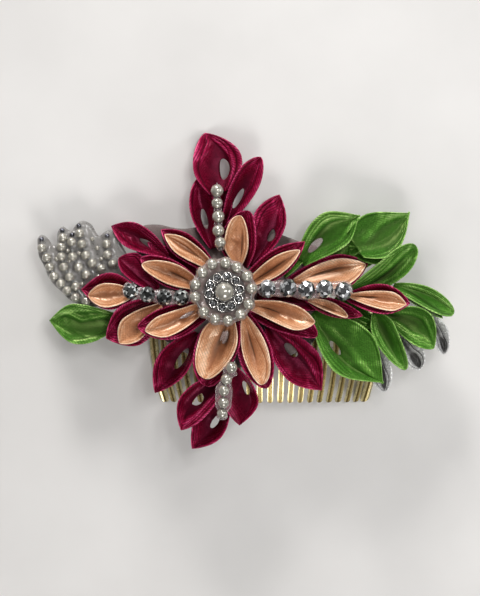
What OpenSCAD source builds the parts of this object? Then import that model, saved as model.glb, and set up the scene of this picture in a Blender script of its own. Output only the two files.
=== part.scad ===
// Flower hair comb: folded satin ribbon petals and leaves, pearls and glass beads, glued to a felt
// and a bowed metal comb. Millimetres.
//
// The flower frame has its origin behind the middle of the brooch, on the back of the felt, with
// X to the right, Y to the top petal and Z out of the flower. The comb lies on its back: the
// flower frame is tipped by rest_tilt, so that the tips of the two end teeth and the tip of the
// top petal touch the surface Z = 0.

/* [Ribbon] */
// Thickness of the folded ribbon wall
ribbon_wall = 1; // [1:0.05:1.1]

/* [Comb] */
// Radius of the bow of the comb's spine, at its front face
spine_radius = 88; // [80:1:110]
// Height of the spine
spine_h = 5; // [4:0.5:7]
// Thickness of the comb's sheet metal
sheet = 0.9; // [0.7:0.1:1.2]
// Number of teeth
teeth = 22; // [16:2:24]
// Angle between neighbouring teeth, about the axis of the bow
tooth_pitch = 3; // [2.8:0.1:3.2]
// Width of a tooth
tooth_w = 2.3; // [1.8:0.1:2.6]
// Width of each of the two end teeth
end_tooth_w = 3.6; // [2.3:0.1:4.2]
// Reach of the teeth below the top of the spine
tooth_reach = 38; // [34:1:42]
// Radius of the curl of the teeth towards the head
curl_radius = 65; // [60:1:90]
// Middle of the comb, to the right of the middle of the brooch
comb_x = 16.3; // [10:0.1:22]
// Top of the spine, below the middle of the brooch
spine_top = -7.2; // [-12:0.1:-4]

/* [Felt and wing] */
// Thickness of the felt
felt_t = 1.2; // [1:0.1:1.2]
// Thickness of the clear sheet of the pearl wing
wing_t = 1; // [0.8:0.1:1]
// Diameter of the wing's pearls
wing_pearl_d = 3.7; // [3:0.1:3.7]
// Diameter of the metal beads at the wing's tips
tip_bead_d = 2; // [1.6:0.1:2]

/* [Brooch] */
// Height of the glue pad's underside above the back of the felt
brooch_z = 14.5; // [14.5:0.1:16]
// Radius of the glue pad
pad_r = 13.3; // [12.5:0.1:13.4]
// Thickness of the glue pad
pad_t = 1.5; // [1:0.1:1.5]
// Radius of the metal setting
setting_r = 8.3; // [8:0.1:8.4]
// Diameter of the middle pearl
middle_pearl_d = 7.6; // [7:0.1:7.8]
// Diameter of the pearls round the setting
ring_pearl_d = 4.4; // [4:0.1:4.4]
// Number of rhinestones
stones = 10; // [8:1:10]
// Radius of the ring of rhinestones
stone_ring_r = 6.2; // [6:0.1:6.3]
// Diameter of a rhinestone
stone_d = 3.3; // [3:0.1:3.4]

/* [Beads] */
// Diameter of the clear glass beads on the right
clear_d = 7.4; // [7:0.1:7.4]
// Length of a clear glass bead along its thread
clear_len = 6.8; // [6:0.1:6.8]
// Diameter of the dark glass beads on the left
dark_d = 6.4; // [6:0.1:6.4]
// Length of a dark glass bead along its thread
dark_len = 6.1; // [5.5:0.1:6.1]
// Diameter of the threads
thread_d = 0.4; // [0.3:0.05:0.4]
// Diameter of the holes drilled in the beads
drill_d = 1.5; // [1.3:0.05:1.5]

/* [Hidden] */
// Tip of the flower frame about X, and its move to the middle of the foot of the piece's box
rest_tilt = 11.33;
rest_shift = [-8.42, -0.59, 13.555];

// Petals and leaves. Each row is a boat-shaped shell of folded ribbon:
//   base [x, y], tip [x, y]: the ends of its middle line
//   bow: how far the middle of that line is pushed to the left, looking from base to tip
//   half width [left, right]: at its widest place
//   shape [peak, point, root]: where it is widest, as a share of its length; how sharp the point
//     is, 0.4 blunt and 1.2 hollow; the width of the base, as a share of the widest
//   level [base, tip, roll]: height of the keel at both ends, and rise of the right rim
//   depth: height of the rims over the keel
//   keel: where the keel lies across, from -1 at the left rim to 1 at the right rim
//   slit [from, to, half width]: the opening along the keel, as shares of the length, and in mm
SINGLES = [
    [[-2, 40], [-8, 64], -2.5, [10.5, 9.5], [0.44, 0.73, 0.39], [4.1, -0.5, 0], 4.5, 0.2, [0.18, 0.53, 2.2]],
    [[1, 29], [14.5, 54], -0.5, [6, 4.5], [0.6, 0.6, 0.38], [1.9, 4.5, -2.5], 4, -0.13, [0.18, 0.5, 1.2]],
    [[-5, 17.5], [-11, 45.5], 1, [4.5, 6], [0.56, 0.62, 0.2], [2.5, 0.3, 0], 4, 0.08, [0.28, 0.58, 1.3]],
    [[10.5, 10.5], [22, 39], -2, [8.5, 5], [0.62, 0.83, 0.2], [1.9, 1.9, 0], 4, 0.18, [0.38, 0.56, 1.6]],
    [[-23, 14.5], [-45.5, 26.5], -1, [5.5, 5], [0.62, 0.86, 0.2], [2, 1.7, 0], 4, -0.05, [0.15, 0.52, 1.2]],
    [[-27.5, 0.5], [-42.5, 13.5], 0.5, [3, 7.5], [0.7, 0.7, 0.28], [1.9, 3.9, -2.5], 3.5, -0.2, []],
    [[-11, -16.5], [-28, -40.5], -1, [6.5, 6.5], [0.53, 0.84, 0.2], [2.5, 0.3, 0], 4.5, -0.3, [0.24, 0.58, 1.6]],
    [[1, -43], [-13, -63], 2, [5, 7], [0.35, 0.45, 0.2], [2, 1.5, 0], 4, 0.1, [0.3, 0.55, 1.2]],
    [[0.5, -35], [-17.5, -55.5], 0, [3.5, 9], [0.6, 0.6, 0.6], [6.1, 2.6, -2.5], 4, 0.4, [0.39, 0.61, 1]],
    [[4, -30.5], [6, -53.5], 1.5, [7, 6.5], [0.59, 0.92, 0.2], [9.7, 2.7, 2.5], 4, -0.45, [0.23, 0.49, 1.3]],
    [[17.5, -14], [39, -39.5], -0.5, [9, 7.5], [0.58, 0.91, 0.23], [3.1, 0.3, 0], 4.5, -0.2, [0.28, 0.5, 1.7]],
];
OUTERS = [
    [[7, 10], [9, 32.5], 1, [8.5, 5.5], [0.4, 0.45, 0.42], [2.4, 5.6, 2.5], 4, 0, []],
    [[8.5, 3], [32, 20], -0.5, [5.5, 5.5], [0.51, 0.88, 0.55], [1.9, 8.4, 0], 4, 0, []],
    [[25, 3.5], [57.5, 11.5], 1, [5.5, 8.5], [0.61, 0.83, 0.3], [2, 2.4, 2.5], 4.5, 0, []],
    [[48.5, -2], [74, -4.5], 0, [6.5, 5.5], [0.59, 0.82, 0.2], [0.8, 7.8, 1.4], 4, 0, []],
    [[33, -2.5], [55, -9.5], -0.5, [3.5, 3.5], [0.41, 0.7, 0.4], [2, 8.3, 2.5], 3, 0, []],
    [[8.5, -7], [37, -17.5], 1.5, [6.5, 5], [0.47, 0.54, 0.33], [1.9, 7.8, 0], 4, 0, []],
    [[8.5, -9], [17, -38.5], 0.5, [5.5, 8], [0.53, 0.57, 0.31], [5.8, 5.6, 2.3], 4, 0, []],
    [[2.5, -11], [-7.5, -37.5], -0.5, [7.5, 9.5], [0.37, 0.42, 0.5], [8, 8.1, -2.5], 4.5, 0, []],
    [[-7.5, -6], [-34.5, -14], 0, [8.5, 4.5], [0.52, 0.6, 0.5], [4.9, 11.9, 0], 4, 0.3, []],
    [[-22, -3], [-47.5, -18.5], -1, [10, 6.5], [0.62, 0.84, 0.2], [5, 4.5, 2.5], 4, 0.3, []],
    [[-35, 0], [-57.5, 1], 0.5, [7, 7.5], [0.5, 1, 0.26], [7.3, 4.2, 0], 4, 0, []],
    [[-10.5, 2], [-33.5, 13.5], 0, [5.5, 5], [0.5, 0.61, 0.42], [1.9, 5.5, 0], 4, 0, []],
    [[-5, 9], [-25.5, 25], -1, [5.5, 4.5], [0.57, 0.84, 0.46], [1.9, 1.9, 0], 4, 0, []],
];
INNERS = [
    [[6, 10.5], [6, 30.5], -0.5, [6.5, 3], [0.43, 0.45, 0.25], [4.1, 6.9, 0], 4, 0, []],
    [[9.5, 3], [30, 16.5], -0.5, [4, 3], [0.53, 0.69, 0.39], [3.9, 10.6, 0], 3.5, 0, []],
    [[28, 4], [56.5, 11], 0.5, [4.5, 7], [0.59, 0.75, 0.28], [4.2, 4.7, 2.3], 4, 0, []],
    [[50, -1.5], [72.5, -5], 0, [4, 3.5], [0.7, 0.85, 0.2], [3.2, 10.2, 0.9], 3, 0, []],
    [[33.5, -3.5], [49, -10], 0.5, [2.5, 1.5], [0.5, 0.5, 0.3], [6, 12, 2.2], 2, 0, []],
    [[8.5, -4.5], [36, -12], 2, [2.5, 7], [0.68, 0.7, 0.25], [5.1, 11.4, 0], 4, 0.2, []],
    [[7.5, -10], [15, -37], -0.5, [6.5, 3.5], [0.51, 0.45, 0.25], [8.9, 8.9, 0], 4, 0, []],
    [[2, -9.5], [-8, -34.5], 1, [6, 9], [0.41, 0.45, 0.32], [10.4, 9.8, -2.5], 4, -0.1, [0.24, 0.44, 1]],
    [[-9.5, -6], [-31.5, -15.5], 1, [5, 4], [0.66, 0.72, 0.46], [7.8, 14.1, 0], 3.5, 0, [0.12, 0.4, 0.9]],
    [[-25.5, -5.5], [-42, -20.5], 0, [4.5, 6], [0.65, 0.73, 0.2], [6.5, 6.8, 0], 3.5, 0, []],
    [[-36, -0.5], [-54.5, -1.5], 0, [5, 4.5], [0.6, 0.67, 0.25], [9.2, 7.7, 0], 3.5, 0, []],
    [[-11, 2.5], [-33, 11], -0.5, [4, 4.5], [0.46, 0.57, 0.45], [4.4, 8.6, 0], 3.5, 0, []],
    [[-5.5, 10.5], [-24, 23], -0.5, [4, 3], [0.59, 0.77, 0.45], [4.5, 4.4, 0], 3.5, 0, []],
];
LEAVES = [
    [[-42, -11.5], [-70.5, -11.5], 2.5, [7, 9], [0.63, 0.96, 0.26], [0.5, 0.3, 2.5], 4, 0, []],
    [[30.5, 12.5], [54, 30.5], 2.5, [7.5, 5.5], [0.58, 1.15, 0.2], [2.8, 9.8, 0], 5, 0.1, [0.14, 0.44, 2.2]],
    [[53, 17.5], [74.5, 32], -3, [12.5, 5.5], [0.4, 1.05, 0.42], [6.9, 0.3, 0], 5, 0, []],
    [[52, 0.5], [77, 18], -2.5, [6.5, 4.5], [0.66, 0.45, 0.41], [0.3, 5, -2.5], 4, 0, []],
    [[68, 2.5], [92, -8.5], 2, [3.5, 5], [0.6, 0.45, 0.31], [2, 3.7, 2.5], 4, 0, []],
    [[63.5, -9.5], [84, -22.5], 3, [8, 6], [0.59, 0.7, 0.3], [3, 4, -2.5], 4, 0, []],
    [[58, -8.5], [71, -31.5], 2.5, [5, 5.5], [0.35, 0.45, 0.25], [3.8, 5, -1.9], 4, 0, []],
    [[36, -8], [63.5, -36.5], 0, [10, 11], [0.54, 1.13, 0.2], [1.9, 6.7, 0], 6, 0.4, [0.32, 0.5, 1.4]],
];
// Folds that lie under a leaf, in the node of that leaf
UNDERFOLDS = [
    [[51, 17], [71, 19], -1, [2, 4], [0.5, 0.9, 0.3], [2, 1.5, 0], 2.5, 0, []],
    [[71, 0], [87.5, -10.5], 1, [2.5, 2.5], [0.5, 0.8, 0.4], [0.3, 4, 2.5], 2.5, 0, []],
];
SILVERS = [
    [[59, -19.5], [64.5, -40], 0.5, [4.3, 4.8], [0.51, 0.45, 0.25], [1.6, 1.2, 0], 3, 0, []],
    [[68.5, -16], [79, -31], 0.5, [4.8, 4.8], [0.6, 0.5, 0.3], [0.6, -0.2, 0], 3, 0, []],
    [[81.5, -9], [88.5, -25], 1, [3.8, 3.4], [0.5, 0.5, 0.3], [1.6, 0.5, 0], 3, 0, []],
];

// Points of a string: x, y, z, bead diameter; a diameter of 0 is a plain end of the thread
UPPER_STRING = [
    [-3, 43.6, 8.7, 0], [-3, 40.5, 8.7, 5.2], [-3, 35.5, 8.4, 4.6], [-2.5, 30.1, 8.9, 5],
    [-2.5, 24.4, 9.9, 4.9], [-1.7, 19.5, 12, 4.7], [-1.3, 16.8, 13, 0]
];
LOWER_STRING = [
    [4.2, -27.4, 18, 0], [2.8, -30, 17.7, 4.6], [0.8, -34.7, 16.5, 4.5], [-0.2, -39.2, 15.9, 4.5],
    [-0.4, -44, 15.2, 4.5], [-0.9, -48.3, 13.6, 4.3], [-1, -50.8, 12.7, 0]
];
CLEAR_STRING = [
    [13.2, 1.1, 13.7, 0], [17, 1.2, 13.6, 1], [25.2, 1.6, 13.2, 1], [32.6, 0.8, 13.4, 1],
    [39.8, 1.2, 14.3, 1], [47.2, 0.2, 14.4, 1], [51, -0.2, 14.4, 0]
];
DARK_STRING = [
    [-13.6, -2.2, 13.7, 0], [-17.2, -2.2, 14, 1], [-23.9, -2.1, 13.7, 1], [-30.6, -1.1, 13.9, 1],
    [-37.2, 0.3, 14.6, 1], [-40.6, 1, 14.9, 0]
];

// Strands of the wing, from the tip inwards: [x, y] of the metal bead and then of each pearl
WING_STRANDS = [
    [[-73.6, 21.2], [-73.4, 17.6], [-71.5, 13.8], [-70.3, 10], [-68.6, 6.3], [-65.8, 3.5],
        [-63.3, 0.6], [-59.9, -2.1]],
    [[-65.3, 24.7], [-65, 21.8], [-65.6, 18.1], [-65.6, 14.2], [-64.6, 10.1], [-62.3, 6], [-59.8, 2.2],
        [-55.6, -3.6]],
    [[-61.3, 23], [-61.5, 20.1], [-61.1, 14.2], [-58.6, 9.9], [-55.6, 6.9]],
    [[-58.6, 26.6], [-58.2, 23.5], [-57.4, 19.3], [-55.8, 14.8], [-53.2, 11.5], [-49.5, 9.3]],
    [[-47.2, 22.6], [-47.3, 19.3], [-47, 15], [-44.9, 11.3]]
];
WING_OUTLINE = [
    [-75.3, 19], [-75.3, 21.6], [-73.6, 23], [-71.4, 21.8], [-69.4, 19], [-68, 18.6], [-67.4, 21],
    [-67.2, 24], [-65.4, 26.4], [-63.2, 25.2], [-61.6, 24.6], [-60.4, 26.4], [-58.2, 28.3],
    [-55.8, 28.4], [-53.4, 26.8], [-51.8, 24], [-50.4, 22.4], [-48.8, 23.8], [-46.8, 24.8],
    [-44.4, 24], [-42, 20], [-38, 12], [-37, 3], [-40, -3.2], [-48, -5.4], [-55.6, -6.2],
    [-59.6, -4.6], [-62.6, -3], [-65.6, 0], [-68.6, 2.8], [-71, 6.2], [-72.8, 10.6], [-74.8, 14.4]
];

// Felt: radius at an angle, from the middle of the brooch
FELT_RADIUS = [
    [0, 40], [22, 43], [42, 33], [76, 33], [100, 28], [121, 30], [141, 42], [160, 38], [180, 36],
    [215, 32], [270, 30], [300, 33], [329, 41], [345, 41], [360, 40]
];

// Pearls round the setting: angle and radius
RING_PEARLS = [
    [114, 12], [88, 11.4], [63, 10.8], [35, 10.8], [7, 10.8], [-27, 10.8], [-55, 10.9],
    [-83, 11.3], [-109, 11.4], [-136, 11.4], [-170, 11.8], [166, 11.8], [139, 11.6]
];

wine = "#8c1c50";
peach = "#ebc39b";
leaf_green = "#4f9a2b";
silver = "#9a9c9f";

function names(stem, rows) = [for (i = [1:len(rows)]) str(stem, "_", i)];
SINGLE_NAMES = names("single_petal", SINGLES);
OUTER_NAMES = names("outer_petal", OUTERS);
INNER_NAMES = names("inner_petal", INNERS);
LEAF_NAMES = names("leaf", LEAVES);

// Leaves that fold under another one, and the leaf that each belongs to
UNDER_OF = [3, 5];

// The mesh of a petal: 8 cells along, 5 across; the slit takes two cells of the middle column
cells_along = 8;
cells_across = 5;
slit_column = 2;
slit_rows = [2, 3];
keel_strip = 0.08;
least_width = 0.06;
side_share = 0.58;
narrow_width = 0.5;
default_slit = [0.3, 0.55, 0];

// Width of a petal at a share t of its length, as a share of the widest
function spread(t, shape) = max(least_width,
    t < shape[0] ? shape[2] + (1 - shape[2]) * sin(90 * t / shape[0])
                 : pow(max(0, cos(90 * (t - shape[0]) / (1 - shape[0]))), shape[1]));

function slit_of(row) = len(row[8]) == 3 ? row[8] : default_slit;

// Places of the cell borders along a petal
function stations(slit) = let (rest = 1 - slit[1]) [
    0, 0.6 * slit[0], slit[0], (slit[0] + slit[1]) / 2, slit[1],
    slit[1] + 0.35 * rest, slit[1] + 0.65 * rest, slit[1] + 0.88 * rest, 1];

// Places of the cell borders across a petal, from -1 at the left rim to 1 at the right rim
function across(row, i, t) = let (
    keel = row[7],
    middle_width = (row[3][0] + row[3][1]) / 2 * spread(t, row[4]),
    open = i == 3 ? max(keel_strip, slit_of(row)[2] / middle_width) : keel_strip
) [-1, keel - side_share * (1 + keel), keel - open, keel + open, keel + side_share * (1 - keel), 1];

// A point of the ribbon's middle surface
function ribbon_point(row, t, u) = let (
    base = row[0],
    run = row[1] - row[0],
    left = [-run[1], run[0]] / norm(run),
    width = spread(t, row[4]),
    side = u < 0 ? row[3][0] : row[3][1],
    from_keel = u < row[7] ? (row[7] - u) / (1 + row[7]) : (u - row[7]) / (1 - row[7]),
    plan = base + run * t + left * (row[2] * 4 * t * (1 - t) - u * side * width),
    level = row[5][0] * (1 - t) + row[5][1] * t + row[5][2] * u * width
) [plan[0], plan[1], level + row[6] * pow(width, 0.8) * pow(from_keel, 1.6)];

// Difference of two neighbours of item i in a list, one-sided at its ends
function slope(list, i) = let (last = len(list) - 1)
    i == 0 ? list[1] - list[0] : i == last ? list[last] - list[last - 1]
                               : (list[i + 1] - list[i - 1]) / 2;

function unit(v) = v / norm(v);

module ribbon_shell(row) {
    slit = slit_of(row);
    ts = stations(slit);
    mid = [for (i = [0:cells_along]) [for (u = across(row, i, ts[i])) ribbon_point(row, ts[i], u)]];
    columns = [for (j = [0:cells_across]) [for (i = [0:cells_along]) mid[i][j]]];
    layer = (cells_along + 1) * (cells_across + 1);
    // Half the wall, square to the ribbon, but straight down along the keel and towards narrow ends,
    // so that the two sides of the fold never pass through each other
    function half_wall(i, j) = let (
        normal = unit(cross(slope(columns[j], i), slope(mid[i], j))),
        square = j == slit_column || j == slit_column + 1 ? 0
            : min(1, spread(ts[i], row[4]) / narrow_width)
    ) unit(normal * square + [0, 0, square - 1]) * ribbon_wall / 2;
    function at(side, i, j) = side * layer + i * (cells_across + 1) + j;
    function cell(i, j) = i >= 0 && i < cells_along && j >= 0 && j < cells_across
        && !(slit[2] > 0 && j == slit_column && (i == slit_rows[0] || i == slit_rows[1]));
    function quad(a, b, c, d) = [[a, b, c], [a, c, d]];
    points = [for (side = [-1, 1]) for (i = [0:cells_along]) for (j = [0:cells_across])
        mid[i][j] + side * half_wall(i, j)];
    faces = [for (i = [0:cells_along - 1]) for (j = [0:cells_across - 1]) if (cell(i, j)) each concat(
        quad(at(0, i, j), at(0, i, j + 1), at(0, i + 1, j + 1), at(0, i + 1, j)),
        quad(at(1, i, j), at(1, i + 1, j), at(1, i + 1, j + 1), at(1, i, j + 1)),
        cell(i - 1, j) ? [] : quad(at(0, i, j), at(1, i, j), at(1, i, j + 1), at(0, i, j + 1)),
        cell(i + 1, j) ? [] : quad(at(0, i + 1, j), at(0, i + 1, j + 1), at(1, i + 1, j + 1),
            at(1, i + 1, j)),
        cell(i, j - 1) ? [] : quad(at(0, i, j), at(0, i + 1, j), at(1, i + 1, j), at(1, i, j)),
        cell(i, j + 1) ? [] : quad(at(0, i, j + 1), at(1, i, j + 1), at(1, i + 1, j + 1),
            at(0, i + 1, j + 1))
    )];
    polyhedron(points, faces);
}

module laid_down() {
    translate(rest_shift) rotate([-rest_tilt, 0, 0]) children();
}

// A petal or leaf: row number i of its table, with the fold beneath it, if it has one
module petal(rows, i, tint) {
    color(tint) laid_down() ribbon_shell(rows[i]);
}

module leaf(i) {
    petal(LEAVES, i, leaf_green);
    for (k = [0:len(UNDERFOLDS) - 1]) if (UNDER_OF[k] == i + 1) petal(UNDERFOLDS, k, leaf_green);
}

// A tooth at the top of the bow, along -Y and curling towards -Z, with a gutter down its front
module tooth(width) {
    gutter = width * 0.3;
    gutter_depth = sheet * 0.45;
    root_y = spine_top - spine_h + 1;
    tip_y = spine_top - tooth_reach;
    sweep = asin((root_y - tip_y + 1) / curl_radius);
    intersection() {
        translate([0, root_y, spine_radius - curl_radius])
            rotate([0, 90, 0]) rotate([0, 0, 180]) rotate_extrude(angle = sweep, $fn = 96)
                polygon([
                    [curl_radius - sheet, -width / 2], [curl_radius, -width / 2],
                    [curl_radius, -gutter], [curl_radius - gutter_depth, -gutter / 2],
                    [curl_radius - gutter_depth, gutter / 2], [curl_radius, gutter],
                    [curl_radius, width / 2], [curl_radius - sheet, width / 2]
                ]);
        linear_extrude(spine_radius + 1) {
            translate([0, tip_y + width / 2]) circle(d = width, $fn = 32);
            translate([-width / 2, tip_y + width / 2]) square([width, root_y - tip_y]);
        }
    }
}

module comb() {
    half_angle = (teeth - 1) / 2 * tooth_pitch;
    end_angle = half_angle + 1.2;
    color("#c9a24a") laid_down() translate([comb_x, 0, -spine_radius - 0.3]) {
        rotate([-90, 0, 0]) rotate([0, 0, -90 - end_angle])
            rotate_extrude(angle = 2 * end_angle, $fn = 180)
                translate([spine_radius - sheet, spine_top - spine_h]) square([sheet, spine_h]);
        for (i = [0:teeth - 1])
            rotate([0, i * tooth_pitch - half_angle, 0])
                tooth(i == 0 || i == teeth - 1 ? end_tooth_w : tooth_w);
    }
}

module felt() {
    color("#8e8a86") laid_down() linear_extrude(felt_t)
        polygon([for (a = [0:6:354]) lookup(a, FELT_RADIUS) * [cos(a), sin(a)]]);
}

module wing_sheet() {
    color("#b9b7b4") laid_down() translate([0, 0, felt_t + 0.2]) linear_extrude(wing_t)
        polygon(WING_OUTLINE);
}

// The points of a wing strand, with the height and diameter of each bead
function wing_string(strand) = let (seat = felt_t + 0.3 + wing_t) [for (i = [0:len(strand) - 1])
    let (d = i == 0 ? tip_bead_d : wing_pearl_d)
    [strand[i][0], strand[i][1], seat + d / 2, d]];

function place_of(point) = [point[0], point[1], point[2]];

// Direction of a string at one of its points
function heading(string, i) = unit(slope([for (p = string) place_of(p)], i));

// Turns +Z to the direction v
module aim(v) {
    rotate([0, acos(v[2] / norm(v)), atan2(v[1], v[0])]) children();
}

// A round bead of a string, drilled straight along the string
module bead(string, i) {
    d = string[i][3];
    translate(place_of(string[i])) aim(heading(string, i)) difference() {
        sphere(d = d, $fn = 48);
        cylinder(h = 2 * d, d = min(drill_d, d / 2), $fn = 24, center = true);
    }
}

module round_beads(string) {
    for (i = [0:len(string) - 1]) if (string[i][3] > 0) bead(string, i);
}

// A thread as a tube of five sides along its points
module thread(string) {
    sides = 5;
    last = len(string) - 1;
    points = [for (i = [0:last])
        let (along = heading(string, i), right = unit(cross(along, [0, 0, 1])), up = cross(right, along))
        for (k = [0:sides - 1])
            place_of(string[i]) + thread_d / 2 * (right * cos(k * 360 / sides) + up * sin(k * 360 / sides))];
    faces = concat(
        [[for (k = [0:sides - 1]) k]],
        [for (i = [0:last - 1]) for (k = [0:sides - 1]) let (
            a = i * sides + k, b = i * sides + (k + 1) % sides
        ) each [[a, a + sides, b + sides], [a, b + sides, b]]],
        [[for (k = [sides - 1:-1:0]) last * sides + k]]
    );
    polyhedron(points, faces);
}

// Faceted beads: eight sides, a table at each end and a straight drilled hole
module cut_beads(string, d, length) {
    hole = 0.8;
    table = d * 0.26;
    belt = length * 0.1;
    for (i = [1:len(string) - 2])
        translate(place_of(string[i])) aim(place_of(string[i + 1]) - place_of(string[i - 1]))
            rotate_extrude($fn = 8) polygon([
                [hole, -length / 2], [table, -length / 2], [d / 2, -belt], [d / 2, belt],
                [table, length / 2], [hole, length / 2]
            ]);
}

module wing_pearls() {
    color("#d9d6cc") laid_down() for (strand = WING_STRANDS) for (i = [1:len(strand) - 1])
        bead(wing_string(strand), i);
}

module wing_tip_beads() {
    color("#6f7074") laid_down() for (strand = WING_STRANDS) bead(wing_string(strand), 0);
}

module string_pearls() {
    color("#e4dfd2") laid_down() {
        round_beads(UPPER_STRING);
        round_beads(LOWER_STRING);
    }
}

module clear_beads() {
    color("#c4c9cf") laid_down() cut_beads(CLEAR_STRING, clear_d, clear_len);
}

module dark_beads() {
    color("#6d7178") laid_down() cut_beads(DARK_STRING, dark_d, dark_len);
}

// The ring of pearls as a closed string: its first and last points come again at its ends
function ring_string() = let (z = brooch_z + pad_t + 0.1 + ring_pearl_d / 2) [
    for (i = [-1:len(RING_PEARLS)]) let (p = RING_PEARLS[(i + len(RING_PEARLS)) % len(RING_PEARLS)])
        [p[1] * cos(p[0]), p[1] * sin(p[0]), z,
            i < 0 || i == len(RING_PEARLS) ? 0 : ring_pearl_d]];

// The ring's thread runs straight through each pearl and bends between them
function ring_path() = let (ring = ring_string()) [
    for (i = [1:len(ring) - 2]) for (end = [-0.45, 0.45])
        place_of(ring[i]) + end * ring_pearl_d * heading(ring, i)];

module ring_pearls() {
    color("#e4dfd2") laid_down() round_beads(ring_string());
}

module threads() {
    color("#d8d8d8") laid_down() {
        for (string = [UPPER_STRING, LOWER_STRING, CLEAR_STRING, DARK_STRING]) thread(string);
        for (strand = WING_STRANDS) thread(wing_string(strand));
        thread(ring_path());
    }
}

module glue_pad() {
    edge = 0.5;
    color("#c9c2bf") laid_down() translate([0, 0, brooch_z]) rotate_extrude($fn = 96) polygon([
        [0, 0], [pad_r - edge, 0], [pad_r, edge], [pad_r, pad_t - edge], [pad_r - edge, pad_t],
        [0, pad_t]
    ]);
}

cup_wall = 0.25;
cup_h = 1.2;
plate_h = 0.8;

module at_stones() {
    for (i = [0:stones - 1]) rotate([0, 0, i * 360 / stones + 9]) translate([stone_ring_r, 0, 0])
        children();
}

module brooch_setting() {
    cup_r = stone_d / 2 + 0.1;
    color("#b8bac0") laid_down() translate([0, 0, brooch_z + pad_t + 0.1]) difference() {
        union() {
            cylinder(h = plate_h, r = setting_r, $fn = 96);
            at_stones() cylinder(h = plate_h + cup_h, r = cup_r + cup_wall, $fn = 32);
        }
        at_stones() translate([0, 0, plate_h]) cylinder(h = cup_h + 1, r = cup_r, $fn = 32);
    }
}

// Round brilliants: a girdle and a crown of eight facets round a table
module rhinestones() {
    color("#dfe6ee") laid_down() translate([0, 0, brooch_z + pad_t + plate_h + 0.2]) at_stones() {
        cylinder(h = 1, d = stone_d, $fn = 8);
        translate([0, 0, 1]) cylinder(h = 0.8, d1 = stone_d, d2 = stone_d * 0.55, $fn = 8);
    }
}

module middle_pearl() {
    color("#e4dfd2") laid_down()
        translate([0, 0, brooch_z + pad_t + plate_h + 0.2 + middle_pearl_d / 2])
            sphere(d = middle_pearl_d, $fn = 64);
}

comb();
felt();
wing_sheet();
wing_pearls();
wing_tip_beads();
threads();
glue_pad();
brooch_setting();
rhinestones();
middle_pearl();
ring_pearls();
string_pearls();
clear_beads();
dark_beads();
for (i = [0:len(SINGLES) - 1]) petal(SINGLES, i, wine);
for (i = [0:len(OUTERS) - 1]) petal(OUTERS, i, wine);
for (i = [0:len(INNERS) - 1]) petal(INNERS, i, peach);
for (i = [0:len(LEAVES) - 1]) leaf(i);
for (i = [0:len(SILVERS) - 1]) petal(SILVERS, i, silver);  // silver_petals
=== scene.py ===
"""Looks of the flower hair comb: folded satin ribbon, pearls, cut glass and a gold-coloured comb."""
import math
from collections import namedtuple

import bpy
import numpy as np
from mathutils import Matrix, Vector, noise
from mathutils.geometry import delaunay_2d_cdt


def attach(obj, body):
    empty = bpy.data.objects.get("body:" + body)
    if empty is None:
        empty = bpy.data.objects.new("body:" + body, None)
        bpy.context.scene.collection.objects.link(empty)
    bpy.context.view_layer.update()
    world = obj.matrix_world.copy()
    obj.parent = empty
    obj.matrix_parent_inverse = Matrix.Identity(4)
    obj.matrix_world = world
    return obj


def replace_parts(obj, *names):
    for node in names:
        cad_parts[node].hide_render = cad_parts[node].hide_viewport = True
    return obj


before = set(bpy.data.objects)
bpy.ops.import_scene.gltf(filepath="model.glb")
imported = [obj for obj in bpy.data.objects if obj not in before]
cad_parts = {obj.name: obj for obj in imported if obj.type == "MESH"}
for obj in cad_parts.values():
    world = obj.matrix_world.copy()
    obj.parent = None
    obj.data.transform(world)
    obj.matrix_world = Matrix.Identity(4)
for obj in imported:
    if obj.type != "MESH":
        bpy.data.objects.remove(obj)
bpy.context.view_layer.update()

# The flower frame: millimetres from the middle of the brooch, x to the right and y up in the photo, and
# z towards the viewer. The comb lies on its back, so that frame is tipped and shifted.
MM = 0.001
TILT = math.radians(11.33)
SHIFT = np.array([-8.42, -0.59, 13.555])
COS, SIN = math.cos(TILT), math.sin(TILT)
RIGHT, UP, FRONT = Vector((1, 0, 0)), Vector((0, COS, -SIN)), Vector((0, SIN, COS))


def rows(points):
    """Points of the flower frame as points of the CAD frame, in metres."""
    p = np.asarray(points, float)
    x, y, z = p[..., 0], p[..., 1], p[..., 2]
    return (np.stack([x, y * COS + z * SIN, z * COS - y * SIN], -1) + SHIFT) * MM


# Camera: straight in front of the flower, with its size in the photo. The brooch's place is in pixels, and
# the height that the camera aims at, its distance and its sensor are in millimetres
PHOTO_WIDE, PHOTO_HIGH, MM_PER_PIXEL = 480, 596, 0.4
BROOCH_X_PX, BROOCH_Y_PX = 224.6, 291.9
AIM_HEIGHT = 8
CAMERA_DISTANCE = 1000
SENSOR = 36

middle = Vector(rows([(PHOTO_WIDE / 2 - BROOCH_X_PX) * MM_PER_PIXEL,
                      (BROOCH_Y_PX - PHOTO_HIGH / 2) * MM_PER_PIXEL, AIM_HEIGHT]))
camera = bpy.data.objects.new("camera", bpy.data.cameras.new("camera"))
bpy.context.collection.objects.link(camera)
camera.location = middle + FRONT * CAMERA_DISTANCE * MM
camera.rotation_mode = "QUATERNION"
camera.rotation_quaternion = Matrix((RIGHT, UP, FRONT)).transposed().to_quaternion()
camera.data.sensor_width = SENSOR
camera.data.lens = SENSOR * CAMERA_DISTANCE / (PHOTO_HIGH * MM_PER_PIXEL)
camera.data.clip_start, camera.data.clip_end = 0.05, 20
bpy.context.scene.camera = camera

# Light: three soft lights and four small lamps, whose reflections are the glints on pearls and glass
WARM, COOL, WHITE = (1, 0.98, 0.96), (0.95, 0.98, 1), (1, 1, 1)


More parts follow.
